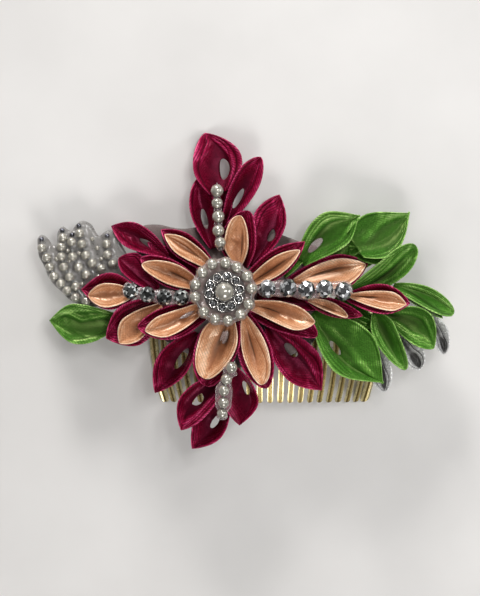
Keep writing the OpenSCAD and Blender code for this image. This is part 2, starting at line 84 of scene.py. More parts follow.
def area_light(name, place, size, power, colour):
    """A square light that looks at the picture's middle; place is in metres from there, right, up, front."""
    light = bpy.data.lights.new(name, "AREA")
    light.size, light.energy, light.color = size, power, colour
    obj = bpy.data.objects.new(name, light)
    bpy.context.collection.objects.link(obj)
    obj.location = middle + RIGHT * place[0] + UP * place[1] + FRONT * place[2]
    obj.rotation_mode = "QUATERNION"
    obj.rotation_quaternion = (middle - obj.location).to_track_quat("-Z", "Y")


area_light("key", (-0.15, 0.85, 0.5), 0.22, 9.6, WARM)
area_light("fill", (0.75, 0.1, 0.4), 0.3, 1.7, COOL)
area_light("low", (0.1, -0.7, 0.5), 0.35, 2.9, WARM)
for number, (x, y) in enumerate(((0.1, 0.2), (0.26, 0.14), (0.16, 0.06), (0.3, 0.28))):
    area_light(f"lamp_{number + 1}", (x, y, 0.85), 0.07, 0.6, WHITE)

# World: a grey studio, lighter towards the top
world = bpy.data.worlds.new("studio")
world.use_nodes = True
sky = world.node_tree.nodes.new("ShaderNodeValToRGB")
heights = world.node_tree.nodes.new("ShaderNodeSeparateXYZ")
place = world.node_tree.nodes.new("ShaderNodeTexCoord")
world.node_tree.links.new(place.outputs["Generated"], heights.inputs[0])
world.node_tree.links.new(heights.outputs[2], sky.inputs[0])
world.node_tree.links.new(sky.outputs[0], world.node_tree.nodes["Background"].inputs["Color"])
lower, upper = sky.color_ramp.elements
lower.position, lower.color = 0.05, (0.06, 0.06, 0.062, 1)
upper.position, upper.color = 0.95, (0.27, 0.27, 0.268, 1)
bpy.context.scene.world = world
bpy.context.scene.view_settings.view_transform = "Standard"


# Materials
def linear(colour):
    """A colour given as 0 to 255, as the screen shows it, made linear."""
    return tuple((c / 255 / 12.92) if c <= 10 else ((c / 255 + 0.055) / 1.055) ** 2.4 for c in colour) + (1,)


class Look:
    """A node material with short ways to add and join nodes."""

    def __init__(self, name, **sockets):
        self.mat = bpy.data.materials.new(name)
        self.mat.use_nodes = True
        self.tree = self.mat.node_tree
        self.shader = self.tree.nodes["Principled BSDF"]
        for key, value in sockets.items():
            self.shader.inputs[key.replace("_", " ")].default_value = value
        self.place = self.node("TexCoord").outputs["Object"]

    def node(self, kind, inputs=None, **settings):
        n = self.tree.nodes.new("ShaderNode" + kind)
        for key, value in settings.items():
            setattr(n, key, value)
        for key, value in (inputs or {}).items():
            self.join(value, n.inputs[key])
        return n

    def join(self, value, socket):
        if isinstance(value, bpy.types.NodeSocket):
            self.tree.links.new(value, socket)
        else:
            socket.default_value = value

    def math(self, operation, a, b=0.0, clamp=False):
        return self.node("Math", {0: a, 1: b}, operation=operation, use_clamp=clamp).outputs[0]

    def add(self, a, b, clamp=False):
        return self.math("ADD", a, b, clamp)

    def minus(self, a, b, clamp=False):
        return self.math("SUBTRACT", a, b, clamp)

    def times(self, a, b):
        return self.math("MULTIPLY", a, b)

    def vector(self, operation, a, b, output="Vector"):
        return self.node("VectorMath", {0: a, 1: b}, operation=operation).outputs[output]

    def attribute(self, name):
        return self.node("Attribute", attribute_name=name).outputs["Fac"]

    def noise(self, size, detail=3.0, rough=0.5):
        """Noise from 0 to 1 with features of about that size, in millimetres."""
        return self.node("TexNoise", {"Vector": self.place, "Scale": 1000 / size, "Detail": detail,
                                                "Roughness": rough}).outputs["Fac"]

    def weave_noise(self, uv, along, over, detail):
        """Noise over the ribbon itself, with so many features in a metre of its length and width."""
        at = self.node("Mapping", {"Vector": uv, "Scale": (along, over, 1.0)}).outputs[0]
        return self.node("TexNoise", {"Vector": at, "Scale": 1.0, "Detail": detail}).outputs["Fac"]

    def ramp(self, fac, *stops):
        """A colour ramp; each stop is (place, colour from 0 to 255)."""
        n = self.node("ValToRGB", {"Fac": fac})
        items = n.color_ramp.elements
        while len(items) < len(stops):
            items.new(0.5)
        for item, (place, colour) in zip(items, stops):
            item.position, item.color = place, linear(colour)
        return n.outputs["Color"]

    def tone(self, fac, low, high):
        """fac from 0 to 1 as a number from low to high."""
        return self.node("MapRange", {"Value": fac, "To Min": low, "To Max": high}).outputs[0]

    def brighten(self, colour, factor):
        grey = self.node("CombineColor", {0: factor, 1: factor, 2: factor}).outputs[0]
        return self.node("Mix", {0: 1.0, 6: colour, 7: grey}, data_type="RGBA",
                         blend_type="MULTIPLY").outputs[2]

    def colour(self, value):
        self.join(value, self.shader.inputs["Base Color"])

    def rough(self, value):
        self.join(value, self.shader.inputs["Roughness"])

    def bump(self, height, distance_mm):
        n = self.node("Bump", {"Height": height, "Distance": distance_mm * MM, "Strength": 1.0})
        self.join(n.outputs["Normal"], self.shader.inputs["Normal"])


# Distance from rib to rib of the ribbon, along and across it, in millimetres
RIB = 0.95
CROSS_RIB = 0.62 * RIB


def satin(name, deep, mid, light, rim, gloss, net=1.0, tick=0.17):
    """Satin ribbon: painted shade in its folds, painted highlights along its rims, with fine ribs across the
    weave.

    net is how much the threads show, and tick how much the ribs show where the ribbon turns up.
    """
    look = Look(name, Anisotropic=0.5, Specular_IOR_Level=1.0, Specular_Tint=linear(gloss))
    shade = look.attribute("shade")
    uv = look.node("UVMap", uv_map="weave").outputs["UV"]
    axes = look.node("SeparateXYZ", {0: uv})
    along, over = axes.outputs[0], axes.outputs[1]
    ribs = look.add(look.times(along, 2 * math.pi / (RIB * MM)), look.times(look.noise(8, 2), 5.0))
    ribs = look.math("SINE", ribs)
    cross = look.math("SINE", look.times(over, 2 * math.pi / (CROSS_RIB * MM)))
    grain = look.weave_noise(uv, 1300.0, 1300.0, 3.0)
    threads = look.weave_noise(uv, 280.0, 1900.0, 3.0)
    broad = look.weave_noise(uv, 70.0, 160.0, 2.0)

    # Colour: painted shade by the depth in the folds and painted highlights on the rims, with soft patches
    # and small painted glints
    # Painted glints: small bright patches that stand in for the satin's highlights
    painted_glint = look.times(look.minus(broad, 0.54, clamp=True), look.add(grain, 0.3))
    patch = look.add(look.times(look.minus(look.noise(3.5, 4, 0.6), 0.5), 0.4), look.times(painted_glint, 3.2))
    tone = look.add(shade, patch, clamp=True)
    colour = look.ramp(tone, (0.03, deep), (0.4, mid), (0.66, light), (1.0, rim))
    raised = look.times(look.math("POWER", look.math("MAXIMUM", shade, 0.0), 1.3), 2.2 * tick)
    lines = look.add(look.math("MINIMUM", raised, tick), look.times(painted_glint, 3.5 * net))
    woven = look.add(look.times(ribs, lines), look.times(look.minus(threads, 0.5), 1.1 * net))
    woven = look.add(woven, look.times(look.minus(grain, 0.5), 0.6 * net))
    # Painted shade in the pressed hollows and pleat valleys, where the shade runs below 0
    painted_hollow_shade = look.add(look.times(look.math("MINIMUM", shade, 0.0), 1.5), 1.0, clamp=True)
    look.colour(look.brighten(colour, look.times(look.add(woven, 1.0), painted_hollow_shade)))

    # Gloss: duller deep in the folds, and drawn out along the threads
    dull = look.times(look.minus(0.3, shade, clamp=True), 0.5)
    look.rough(look.add(look.tone(grain, 0.14, 0.36), dull))
    weave = look.add(look.times(ribs, 0.5), look.times(cross, 0.25))
    look.bump(look.add(weave, look.times(look.add(threads, grain), 1.6)), 0.016 * net)
    tangent = look.node("Tangent", direction_type="UV_MAP", uv_map="weave").outputs[0]
    look.join(tangent, look.shader.inputs["Tangent"])
    return look.mat


# Colours of each satin from painted shade deep in the folds, through its own tone, to painted highlight on
# the rims; then the tint of its gloss
WINE = satin("wine_satin", (46, 0, 9), (90, 4, 28), (128, 20, 55), (164, 56, 94), (190, 76, 114),
             net=0.85, tick=0.4)
PEACH = satin("peach_satin", (152, 94, 60), (194, 139, 101), (216, 174, 141), (234, 205, 180),
              (236, 212, 188), net=0.55, tick=0.11)
GREEN = satin("green_satin", (36, 79, 18), (60, 106, 35), (83, 131, 50), (138, 176, 98), (186, 212, 126))


def glitter():
    """Silver ribbon of metallic threads: painted shade in its folds, painted highlights on its rims, with
    bright specks.
    """
    look = Look("silver_ribbon", Metallic=0.2, Roughness=0.36)
    specks = look.node("TexVoronoi", {"Vector": look.place, "Scale": 2200.0})
    bright = look.node("SeparateColor", {0: specks.outputs["Color"]}).outputs[0]
    # Painted shade deep in the folds up to painted highlights on the rims
    colour = look.ramp(look.attribute("shade"), (0.03, (56, 54, 53)), (0.2, (150, 149, 148)),
                       (0.5, (206, 205, 204)), (1.0, (248, 247, 246)))
    look.colour(look.brighten(colour, look.tone(look.math("POWER", bright, 3.0), 0.75, 1.5)))
    look.bump(specks.outputs["Distance"], 0.2)
    return look.mat


def pearl():
    """A coated pearl, with a faint cloud in its colour."""
    look = Look("pearl", Metallic=0.5, Roughness=0.22, Coat_Weight=1.0, Coat_Roughness=0.03,
                Specular_IOR_Level=0.6)
    look.colour(look.ramp(look.noise(2.2, 3), (0.3, (152, 149, 138)), (0.55, (172, 168, 157)),
                          (0.8, (188, 183, 173))))
    look.bump(look.noise(1.2, 2), 0.003)
    return look.mat


def metal(name, dark, bright, rough):
    """Plated metal with a fine grain."""
    look = Look(name, Metallic=1.0)
    look.colour(look.ramp(look.noise(6, 4), (0.3, dark), (0.7, bright)))
    look.rough(look.tone(look.noise(0.5, 4, 0.6), rough * 0.8, rough * 1.3))
    look.bump(look.noise(0.5, 3, 0.6), 0.003)
    return look.mat


# A tooth stands every 3 degrees round the comb's axis, and the spine is above that height of the flower
# frame, in metres. Whole teeth are added to the count from the middle, to keep it above zero
TOOTH_PITCH = math.radians(3)
COMB_AXIS = tuple(rows([16.3, 0, -88.3]))
SPINE_START = -0.0124
WHOLE_TEETH = 100.0


def brass():
    """Gold-coloured metal of the comb, with painted shade down the gutter of each tooth and painted
    highlights along its edges.
    """
    look = Look("brass", Metallic=0.55)
    place = look.node("NewGeometry").outputs["Position"]
    place = look.vector("SUBTRACT", place, COMB_AXIS)
    depth = look.vector("DOT_PRODUCT", place, tuple(FRONT), "Value")
    aside = look.node("SeparateXYZ", {0: place}).outputs[0]
    teeth = look.math("DIVIDE", look.math("ARCTAN2", aside, depth), TOOTH_PITCH)
    from_gutter = look.math("ABSOLUTE", look.minus(look.math("FRACT", look.add(teeth, WHOLE_TEETH)), 0.5))
    height = look.vector("DOT_PRODUCT", place, tuple(UP), "Value")
    on_spine = look.math("GREATER_THAN", height, SPINE_START)
    # Painted shade in each tooth's gutter, painted highlights along its edges; the spine takes the brightest
    # colour
    colour = look.ramp(look.add(from_gutter, on_spine), (0.0, (86, 71, 36)), (0.06, (132, 112, 64)),
                       (0.13, (198, 178, 118)), (0.26, (224, 211, 160)))
    look.colour(look.brighten(colour, look.tone(look.noise(7, 3), 0.82, 1.12)))
    look.rough(look.tone(look.noise(3, 3), 0.2, 0.34))
    return look.mat


def crystal(name, dark, bright, coat=1.0):
    """Cut glass, silvered behind: each facet has its own painted brightness, which stands in for its
    reflections.
    """
    look = Look(name, Metallic=0.55, Roughness=0.07, Coat_Weight=coat, Coat_Roughness=0.02)
    colour = look.ramp(look.attribute("facet"), (0.0, dark), (1.0, bright))
    look.colour(look.brighten(colour, look.tone(look.noise(1.2, 2), 0.8, 1.2)))
    return look.mat


def translucent(name, low, high, transmission, rough, alpha=1.0, size=2.0, bump=0.1):
    """Glue, film or nylon: cloudy, with lumps of about that size in millimetres."""
    look = Look(name, Transmission_Weight=transmission, Coat_Weight=0.4, Coat_Roughness=0.1, IOR=1.45,
                Alpha=alpha)
    look.colour(look.ramp(look.noise(size, 4), (0.3, low), (0.7, high)))
    look.rough(look.tone(look.noise(size / 2, 3), rough * 0.7, rough * 1.4))
    look.bump(look.noise(size, 3), bump)
    return look.mat


def felt():
    """Grey felt with matted fibres."""
    look = Look("felt", Roughness=0.95, Sheen_Weight=0.6, Sheen_Roughness=0.6, Specular_IOR_Level=0.15)
    fibres = look.noise(0.5, 5, 0.7)
    cloud = look.ramp(look.noise(4, 4), (0.3, (84, 71, 69)), (0.7, (106, 92, 89)))
    look.colour(look.brighten(cloud, look.tone(fibres, 0.6, 1.35)))
    look.bump(fibres, 0.25)
    return look.mat


def pale_floor():
    look = Look("floor", Roughness=0.45)
    look.colour(look.ramp(look.noise(90, 4), (0.35, (212, 210, 208)), (0.65, (222, 220, 218))))
    look.rough(look.tone(look.noise(30, 4), 0.38, 0.55))
    return look.mat


SILVER = glitter()
PEARL = pearl()
BRASS = brass()
CHROME = metal("chrome", (204, 202, 198), (244, 242, 238), 0.2)
PLATE = metal("setting_plate", (66, 62, 62), (92, 88, 86), 0.42)
DARK_BEAD = metal("dark_bead", (84, 84, 90), (128, 128, 136), 0.25)
# Each glass runs from a facet's painted dark reflection to its painted bright one
CLEAR_GLASS = crystal("clear_glass", (44, 45, 47), (212, 213, 215))
DARK_GLASS = crystal("dark_glass", (4, 5, 5), (236, 240, 238), coat=0.25)
STONE_GLASS = crystal("stone_glass", (34, 35, 38), (250, 250, 252))
GLUE = translucent("glue", (168, 150, 146), (192, 176, 170), 0.45, 0.2, alpha=0.9)
HAZE = translucent("glue_bed", (186, 160, 164), (208, 190, 190), 0.5, 0.2, alpha=0.42)
FILM = translucent("clear_sheet", (140, 137, 134), (166, 163, 160), 0.45, 0.28, size=3.0, bump=0.12)
WINDOW = translucent("glue_window", (150, 122, 112), (216, 190, 182), 0.3, 0.25, alpha=0.95, size=0.6)
THREAD = translucent("thread", (205, 205, 203), (226, 226, 224), 0.5, 0.25, size=1.0, bump=0.02)
FELT = felt()


def mesh_piece(name, points, faces, material, smooth_faces=True):
    """A new object of that name, from points in metres and faces."""
    mesh = bpy.data.meshes.new(name)
    mesh.from_pydata([tuple(p) for p in points], [], [tuple(f) for f in faces])
    mesh.polygons.foreach_set("use_smooth", [smooth_faces] * len(mesh.polygons))
    mesh.materials.append(material)
    obj = bpy.data.objects.new(name, mesh)
    bpy.context.collection.objects.link(obj)
    return obj


# Floor
FLOOR_HALF, FLOOR_LEVEL = 1.5, -0.0001
corners = [(x * FLOOR_HALF, y * FLOOR_HALF, FLOOR_LEVEL) for x, y in ((-1, -1), (1, -1), (1, 1), (-1, 1))]
floor = mesh_piece("floor", corners, [(0, 1, 2, 3)], pale_floor(), False)

# Petals, in millimetres, after the tables of the part's source; a few rows differ to keep closer to the
# photo. Left and right are as seen from the base. Bow is how far the keel stands to the left of the line
# from base to tip; halves are the half widths to the left and right; shape is the share of the length where
# the petal is widest, the power of its narrowing to the tip, and its width at the base; level is the
# heights of base and tip, and the rise to the right; keel is its place from left, -1, to right, 1; slit is
# none or the shares of the length where it starts and ends, and its half width
Petal = namedtuple("Petal", "base tip bow halves shape level depth keel slit", defaults=(4, 0, ()))
SINGLES = [
    [[-2, 40], [-8, 64], -2.5, [10.5, 9.5], [0.44, 0.73, 0.39], [4.1, -0.5, 0], 4.5, 0.2, [0.18, 0.53, 2.2]],
    [[1, 29], [14.5, 54], -0.5, [6, 4.5], [0.6, 0.6, 0.38], [1.9, 4.5, -2.5], 4, -0.13, [0.18, 0.5, 1.2]],
    [[-5, 17.5], [-11, 45.5], 1, [4.5, 6], [0.56, 0.62, 0.2], [2.5, 0.3, 0], 4, 0.08, [0.28, 0.58, 1.3]],
    [[10.5, 10.5], [22, 39], -2, [8.5, 5], [0.62, 0.83, 0.2], [1.9, 1.9, 0], 4, 0.18, [0.38, 0.56, 1.6]],
    [[-23, 14.5], [-45.5, 26.5], -1, [5.5, 5], [0.62, 0.86, 0.2], [2, 1.7, 0], 4, -0.05, [0.15, 0.52, 1.2]],
    [[-27.5, 0.5], [-42.5, 13.5], 0.5, [3, 7.5], [0.7, 0.7, 0.28], [1.9, 3.9, -2.5], 3.5, -0.2],
    [[-11, -16.5], [-28, -40.5], -1, [6.5, 6.5], [0.53, 0.84, 0.2], [2.5, 0.3, 0], 4.5, -0.3,
     [0.24, 0.58, 1.6]],
    [[1, -43], [-13, -63], 2, [4.8, 8], [0.52, 0.85, 0.35], [2, 1.5, 0], 4, 0.1, [0.3, 0.55, 1.2]],
    [[0.5, -35], [-17.5, -55.5], 0, [3.5, 9], [0.6, 0.8, 0.6], [6.1, 2.6, -2.5], 4, 0.4, [0.39, 0.61, 1]],
    [[4, -30.5], [6, -53.5], 1.5, [7, 6.5], [0.59, 0.92, 0.2], [9.7, 2.7, 2.5], 4, -0.45, [0.23, 0.49, 1.3]],
    [[17.5, -14], [39, -39.5], -0.5, [9, 7.5], [0.58, 0.91, 0.23], [3.1, 0.3, 0], 4.5, -0.2,
     [0.28, 0.5, 1.7]],
]
OUTERS = [
    [[7, 10], [9, 32.5], 1, [8.5, 5.5], [0.4, 0.45, 0.42], [2.4, 5.6, 2.5]],
    [[8.5, 3], [32, 20], -0.5, [5.5, 5.5], [0.51, 0.88, 0.55], [1.9, 8.4, 0]],
    [[25, 3.5], [57.5, 11.5], 1, [5.5, 8.5], [0.61, 0.83, 0.3], [2, 2.4, 2.5], 4.5],
    [[48.5, -2], [74, -4.5], 0, [6.5, 5.5], [0.59, 0.82, 0.2], [0.8, 7.8, 1.4]],
    [[33, -2.5], [55, -9.5], -0.5, [3.5, 3.5], [0.41, 0.7, 0.4], [2, 8.3, 2.5], 3],
    [[8.5, -7], [37, -17.5], 1.5, [6.5, 5], [0.47, 0.54, 0.33], [1.9, 7.8, 0]],
    [[8.5, -9], [17, -38.5], 0.5, [5.5, 8], [0.53, 0.57, 0.31], [5.8, 5.6, 2.3]],
    [[2.5, -11], [-7.5, -37.5], -0.5, [7.5, 9.5], [0.37, 0.42, 0.5], [8, 8.1, -2.5], 4.5],
    [[-7.5, -6], [-34.5, -14], 0, [8.5, 4.5], [0.52, 0.6, 0.5], [4.9, 11.9, 0], 4, 0.3],
    [[-22, -3], [-47.5, -18.5], -1, [10, 6.5], [0.62, 0.84, 0.2], [5, 4.5, 2.5], 4, 0.3],
    [[-35, 0], [-57.5, 1], 0.5, [7, 7.5], [0.5, 1, 0.26], [7.3, 4.2, 0]],
    [[-10.5, 2], [-33.5, 13.5], 0, [5.5, 5], [0.5, 0.61, 0.42], [1.9, 5.5, 0]],
    [[-5, 9], [-25.5, 25], -1, [5.5, 4.5], [0.57, 0.84, 0.46], [1.9, 1.9, 0]],
]
INNERS = [
    [[6, 10.5], [6, 30.5], -0.5, [6.5, 3], [0.43, 0.45, 0.25], [4.1, 6.9, 0]],
    [[9.5, 3], [30, 16.5], -0.5, [4, 3], [0.53, 0.69, 0.39], [3.9, 10.6, 0], 3.5],
    [[28, 4], [56.5, 11], 0.5, [4.5, 7], [0.59, 0.75, 0.28], [4.2, 4.7, 2.3]],
    [[50, -1.5], [72.5, -5], 0, [4, 3.5], [0.7, 0.85, 0.2], [3.2, 10.2, 0.9], 3],
    [[33.5, -3.5], [49, -10], 0.5, [2.5, 1.5], [0.5, 0.5, 0.3], [6, 12, 2.2], 2],
    [[8.5, -4.5], [36, -12], 2, [2.5, 7], [0.68, 0.7, 0.25], [5.1, 11.4, 0], 4, 0.2],
    [[7.5, -10], [15, -37], -0.5, [6.5, 3.5], [0.51, 0.45, 0.25], [8.9, 8.9, 0]],
    [[2, -9.5], [-8, -34.5], 1, [6, 9], [0.41, 0.45, 0.32], [10.4, 9.8, -2.5], 4, -0.1, [0.21, 0.43, 1.3]],
    [[-9.5, -6], [-31.5, -15.5], 1, [5, 4], [0.66, 0.72, 0.46], [7.8, 14.1, 0], 3.5, 0, [0.12, 0.4, 0.9]],
    [[-25.5, -5.5], [-42, -20.5], 0, [4.5, 6], [0.65, 0.73, 0.2], [6.5, 6.8, 0], 3.5],
    [[-36, -0.5], [-54.5, -1.5], 0, [5, 4.5], [0.6, 0.67, 0.25], [9.2, 7.7, 0], 3.5],
    [[-11, 2.5], [-33, 11], -0.5, [4, 4.5], [0.46, 0.57, 0.45], [4.4, 8.6, 0], 3.5],
    [[-5.5, 10.5], [-24, 23], -0.5, [4, 3], [0.59, 0.77, 0.45], [4.5, 4.4, 0], 3.5],
]
LEAVES = [
    [[-42, -11.5], [-70.5, -11.5], 2.5, [7, 9], [0.63, 0.96, 0.26], [0.5, 0.3, 2.5], 3],
    [[30.5, 12.5], [54, 30.5], 2.5, [7.5, 8.5], [0.58, 1.15, 0.3], [2.8, 9.8, 0], 5, 0.1, [0.15, 0.42, 1.6]],
    [[53, 17.5], [74.5, 32], -3, [12, 7.2], [0.36, 1.1, 0.62], [6.9, 0.3, 0], 5],
    [[52, 0.5], [77, 18], -2.5, [6.5, 4.5], [0.66, 0.45, 0.41], [0.3, 5, -2.5]],
    [[68, 2.5], [92, -8.5], 2, [3.5, 5], [0.6, 0.45, 0.31], [2, 3.7, 2.5]],
    [[63.5, -9.5], [84, -22.5], 3, [8, 6], [0.59, 0.7, 0.3], [3, 4, -2.5], 4, -0.3],
    [[60, -8.2], [72.6, -31.2], -1.2, [5.5, 4], [0.3, 0.5, 0.25], [3.8, 5, -1.9]],
    [[36, -8], [63.5, -36.5], 0, [10, 11], [0.54, 1.13, 0.2], [1.9, 6.7, 0], 6, 0.4, [0.32, 0.5, 1.4]],
]
UNDERFOLDS = {
    "leaf_3": [[50, 17.5], [71.5, 18], -1.5, [2.5, 5], [0.5, 0.9, 0.4], [2, 1.5, 0], 2.5],
    "leaf_5": [[71, 0], [87.5, -10.5], 1, [2.5, 2.5], [0.5, 0.8, 0.4], [0.3, 4, 2.5], 2.5],
}
SILVERS = [
    [[59, -19.5], [64.5, -40], 0.5, [4.3, 4.8], [0.51, 0.45, 0.25], [1.6, 1.2, 0], 3],
    [[68.5, -16], [79, -31], 0.5, [4.8, 4.8], [0.6, 0.5, 0.3], [0.6, -0.2, 0], 3],
    [[81.5, -9], [88.5, -25], 1, [3.8, 3.4], [0.5, 0.5, 0.3], [1.6, 0.5, 0], 3],
]
# Ribbon ends glued between the bases of petals and leaves, which close the gaps there
GREEN_ENDS = [
    [[43, 13], [58, 31], -2, [3.5, 4.5], [0.5, 0.8, 0.6], [1.2, 1.5, 0], 2],
    [[42, 10.5], [64, 16.5], -1.5, [3.5, 3.5], [0.5, 0.8, 0.6], [0.8, 1.2, 0], 2],
    [[44, -3.5], [63, -14], -1, [4, 4], [0.5, 0.8, 0.7], [-0.3, -0.3, 0], 1.6],
    [[50, -12], [64, -20], 1, [4, 4], [0.5, 0.8, 0.7], [-0.8, -0.8, 0], 1.6],
    [[24, 6.5], [32.4, 14.3], 0.5, [1.8, 1.8], [0.5, 0.6, 0.5], [1.2, 1.7, 0], 2],
]
WINE_ENDS = [
    [[13, -2.5], [42, -6], 0, [3, 3], [0.5, 0.7, 0.6], [1.2, 1.6, 0], 2],
    [[-1.5, 26], [1.5, 45], 0, [3, 3], [0.5, 0.7, 0.6], [1.2, 1.8, 0], 2],
    [[-9, 5], [-31, 20], 0, [3.2, 3.2], [0.5, 0.7, 0.6], [1.2, 1.4, 0], 2],
]

# Rolled lips of the petals, left and right, by their numbers, with the usual ones under 0: width half way
# and at the tip, and number of pleats
LIPS = {
    "single_petal": {
        1: [(1.5, 6, 1), (4, 2.5, 2)], 2: [(1.2, 1.2, 1), (2.6, 3.5, 1)], 3: [(1, 1, 1), (1.2, 1.2, 1)],
        4: [(3, 3, 2), (1.8, 1.8, 2)], 5: [(1.5, 2, 1), (3, 1.2, 3)], 6: [(1.8, 2, 1), (2.5, 2, 2)],
        7: [(1.6, 2, 2), (0.9, 2, 1)], 8: [(1.3, 1.3, 1), (0.8, 2.5, 2)], 9: [(2, 2.5, 3), (1.3, 1.3, 1)],
        10: [(1.4, 1.5, 1), (0.8, 0.8, 1)], 11: [(3, 1.5, 1), (1.2, 1.2, 2)],
    },
    "outer_petal": {
        0: [(2.2, 2.2, 2), (2.2, 2.2, 2)], 4: [(1.6, 1.6, 1), (3.5, 3, 3)],
        9: [(1.5, 1.5, 2), (2.5, 2.5, 2)], 10: [(2.2, 2.2, 2), (3, 3, 2)], 11: [(1, 1, 1), (3.2, 3, 1)],
        12: [(2.5, 2, 3), (2.2, 2.5, 2)], 13: [(2.5, 2, 3), (1.8, 2, 1)],
    },
    "inner_petal": {
        0: [(0.8, 0.8, 1), (0.8, 0.8, 1)], 1: [(0.7, 0.7, 1), (2, 2, 2)], 2: [(0.8, 0.8, 1), (1, 1, 2)],
        3: [(3, 3, 1), (1, 1, 1)], 4: [(1.4, 1.4, 1), (1.6, 1.6, 2)], 6: [(0.8, 0.8, 1), (1.6, 1, 3)],
        7: [(2.4, 1.5, 1), (1.2, 1, 2)], 8: [(1.5, 1.5, 2), (0.6, 0.6, 1)],
        9: [(0.7, 0.7, 1), (0.7, 0.7, 1)],
    },
    "leaf": {
        1: [(1.6, 1, 1), (1.2, 0.8, 2)], 2: [(2.8, 2.8, 2), (1.6, 1.6, 2)],
        3: [(0.6, 0.6, 1), (2.5, 1.4, 2)], 4: [(3.2, 2, 3), (1, 1, 2)], 5: [(3.2, 3, 3), (1.7, 1.5, 2)],
        6: [(0.8, 0.8, 1), (0.8, 0.8, 1)], 7: [(1.2, 1.2, 1), (2, 1.5, 2)],
        8: [(0.6, 0.6, 1), (5.2, 1.5, 3)],
    },
}
SILVER_LIPS = [(3, 0.9, 1), (3, 0.9, 1)]
PLAIN_LIPS = [(0.8, 0.8, 1), (0.8, 0.8, 1)]
# Folds pressed along a petal, with a painted highlight on the crest and painted shade beside it: side, -1 or
# 1 for left or right, shares of the half width near the base, in the middle and near the tip, rise and width
# in millimetres. Its key, here and below, is the petal's name
CREASES = {
    "leaf_1": [(1, 0.62, 0.3, 0.85, 0.7, 0.8), (1, 0.9, 0.72, 0.6, 0.3, 0.5)],
    "leaf_2": [(-1, 0.45, 0.6, 0.5, 0.6, 0.9), (1, 0.5, 0.62, 0.4, 0.3, 0.8)],
    "leaf_3": [(-1, 0.3, 0.55, 0.8, 0.5, 1.4)],
    "leaf_4": [(-1, 0.2, 0.3, 0.5, 0.5, 0.7), (1, 0.3, 0.4, 0.2, 0.4, 0.6)],
    "leaf_5": [(-1, 0.3, 0.35, 0.4, 0.4, 0.6)],
    "leaf_6": [(-1, 0.3, 0.45, 0.2, 0.6, 0.8), (1, 0.5, 0.6, 0.3, 0.4, 0.8)],
    "leaf_7": [(1, 0.35, 0.4, 0.3, 0.4, 0.6)],
    "leaf_8": [(-1, 0.25, 0.3, 0.1, 0.5, 1.2)],
    "single_petal_1": [(1, 0.5, 0.45, 0.2, 0.5, 0.7)],
    "single_petal_9": [(-1, 0.4, 0.45, 0.3, 0.4, 0.7)],
    "single_petal_11": [(-1, 0.35, 0.3, 0.2, 0.4, 0.8)],
    "inner_petal_3": [(-1, 0.3, 0.4, 0.3, 0.3, 0.7)],
    "inner_petal_8": [(1, 0.42, 0.5, 0.5, 0.3, 1.7)],
    "inner_petal_13": [(-1, 0.2, 0.5, 0.6, 0.35, 0.5), (1, 0.1, 0.4, 0.5, 0.3, 0.5)],
}
# Dark hollows pressed into a petal, their darkness painted shade (beside the slit of inner_petal_8, the
# darkening of its glue): side, shares of the half width at their two ends, place and half length as shares of
# the petal's length, width in millimetres, and darkness
SLOTS = {
    "inner_petal_1": [(1, 0.1, 0.3, 0.42, 0.26, 0.5, 0.75)],
    "inner_petal_2": [(-1, 0.05, 0.12, 0.45, 0.3, 0.5, 0.75)],
    "inner_petal_3": [(-1, 0.15, 0.3, 0.5, 0.26, 0.9, 0.75)],
    "inner_petal_4": [(-1, 0.1, 0.3, 0.3, 0.2, 0.45, 0.75)],
    "inner_petal_5": [(1, 0.1, 0.1, 0.45, 0.3, 0.6, 0.75)],
    "inner_petal_6": [(1, 0.05, 0.2, 0.34, 0.16, 0.4, 0.75)],
    "inner_petal_7": [(-1, 0.12, 0.12, 0.42, 0.2, 0.35, 0.75)],
    "inner_petal_8": [(-1, 0.25, 0.25, 0.32, 0.12, 0.6, 0.9), (1, 0.17, 0.17, 0.32, 0.12, 0.6, 0.9)],
    "inner_petal_10": [(-1, 0.15, 0.05, 0.32, 0.14, 0.5, 0.75)],
    "inner_petal_12": [(1, 0.05, 0.2, 0.34, 0.18, 0.6, 0.75)],
    "leaf_1": [(-1, 0.45, 0.35, 0.5, 0.3, 3.0, 0.3)],
    "leaf_2": [(1, 0.62, 0.7, 0.55, 0.4, 1.2, 0.4), (-1, 0.3, 0.2, 0.35, 0.2, 1.4, 0.3)],
    "leaf_3": [(1, 0.5, 0.45, 0.62, 0.3, 2.2, 0.45)],
    "leaf_4": [(-1, 0.1, 0.1, 0.45, 0.3, 0.9, 0.4)],
    "leaf_5": [(1, 0.3, 0.75, 0.5, 0.33, 0.7, 0.6)],
    "leaf_6": [(1, 0.1, 0.1, 0.35, 0.3, 1.4, 0.35)],
    "leaf_7": [(-1, 0.2, 0.3, 0.4, 0.3, 1.6, 0.4)],
    "leaf_8": [(1, 0.25, 0.3, 0.62, 0.22, 2.0, 0.3)],
    "silver_petal_1": [(-1, 0.1, 0.1, 0.7, 0.24, 1.1, 0.75), (1, 0, 0, 0.7, 0.24, 0.9, 0.75)],
    "silver_petal_2": [(-1, 0.1, 0.1, 0.8, 0.16, 1.4, 0.75), (1, 0, 0, 0.8, 0.16, 1.3, 0.75)],
    "silver_petal_3": [(-1, 0.2, 0.2, 0.8, 0.16, 1.3, 0.75), (1, 0, 0, 0.8, 0.14, 0.6, 0.75)],
}


def smooth(x):
    x = np.clip(x, 0, 1)
    return x * x * (3 - 2 * x)


def waves(seed, t):
    """A smooth random wave along t, for the unevenness of hand work."""
    rng = np.random.default_rng(seed)
    return sum(rng.normal() / (k + 1) * np.sin(np.pi * (k + 1) * t + rng.uniform(0, 6.3)) for k in range(4))


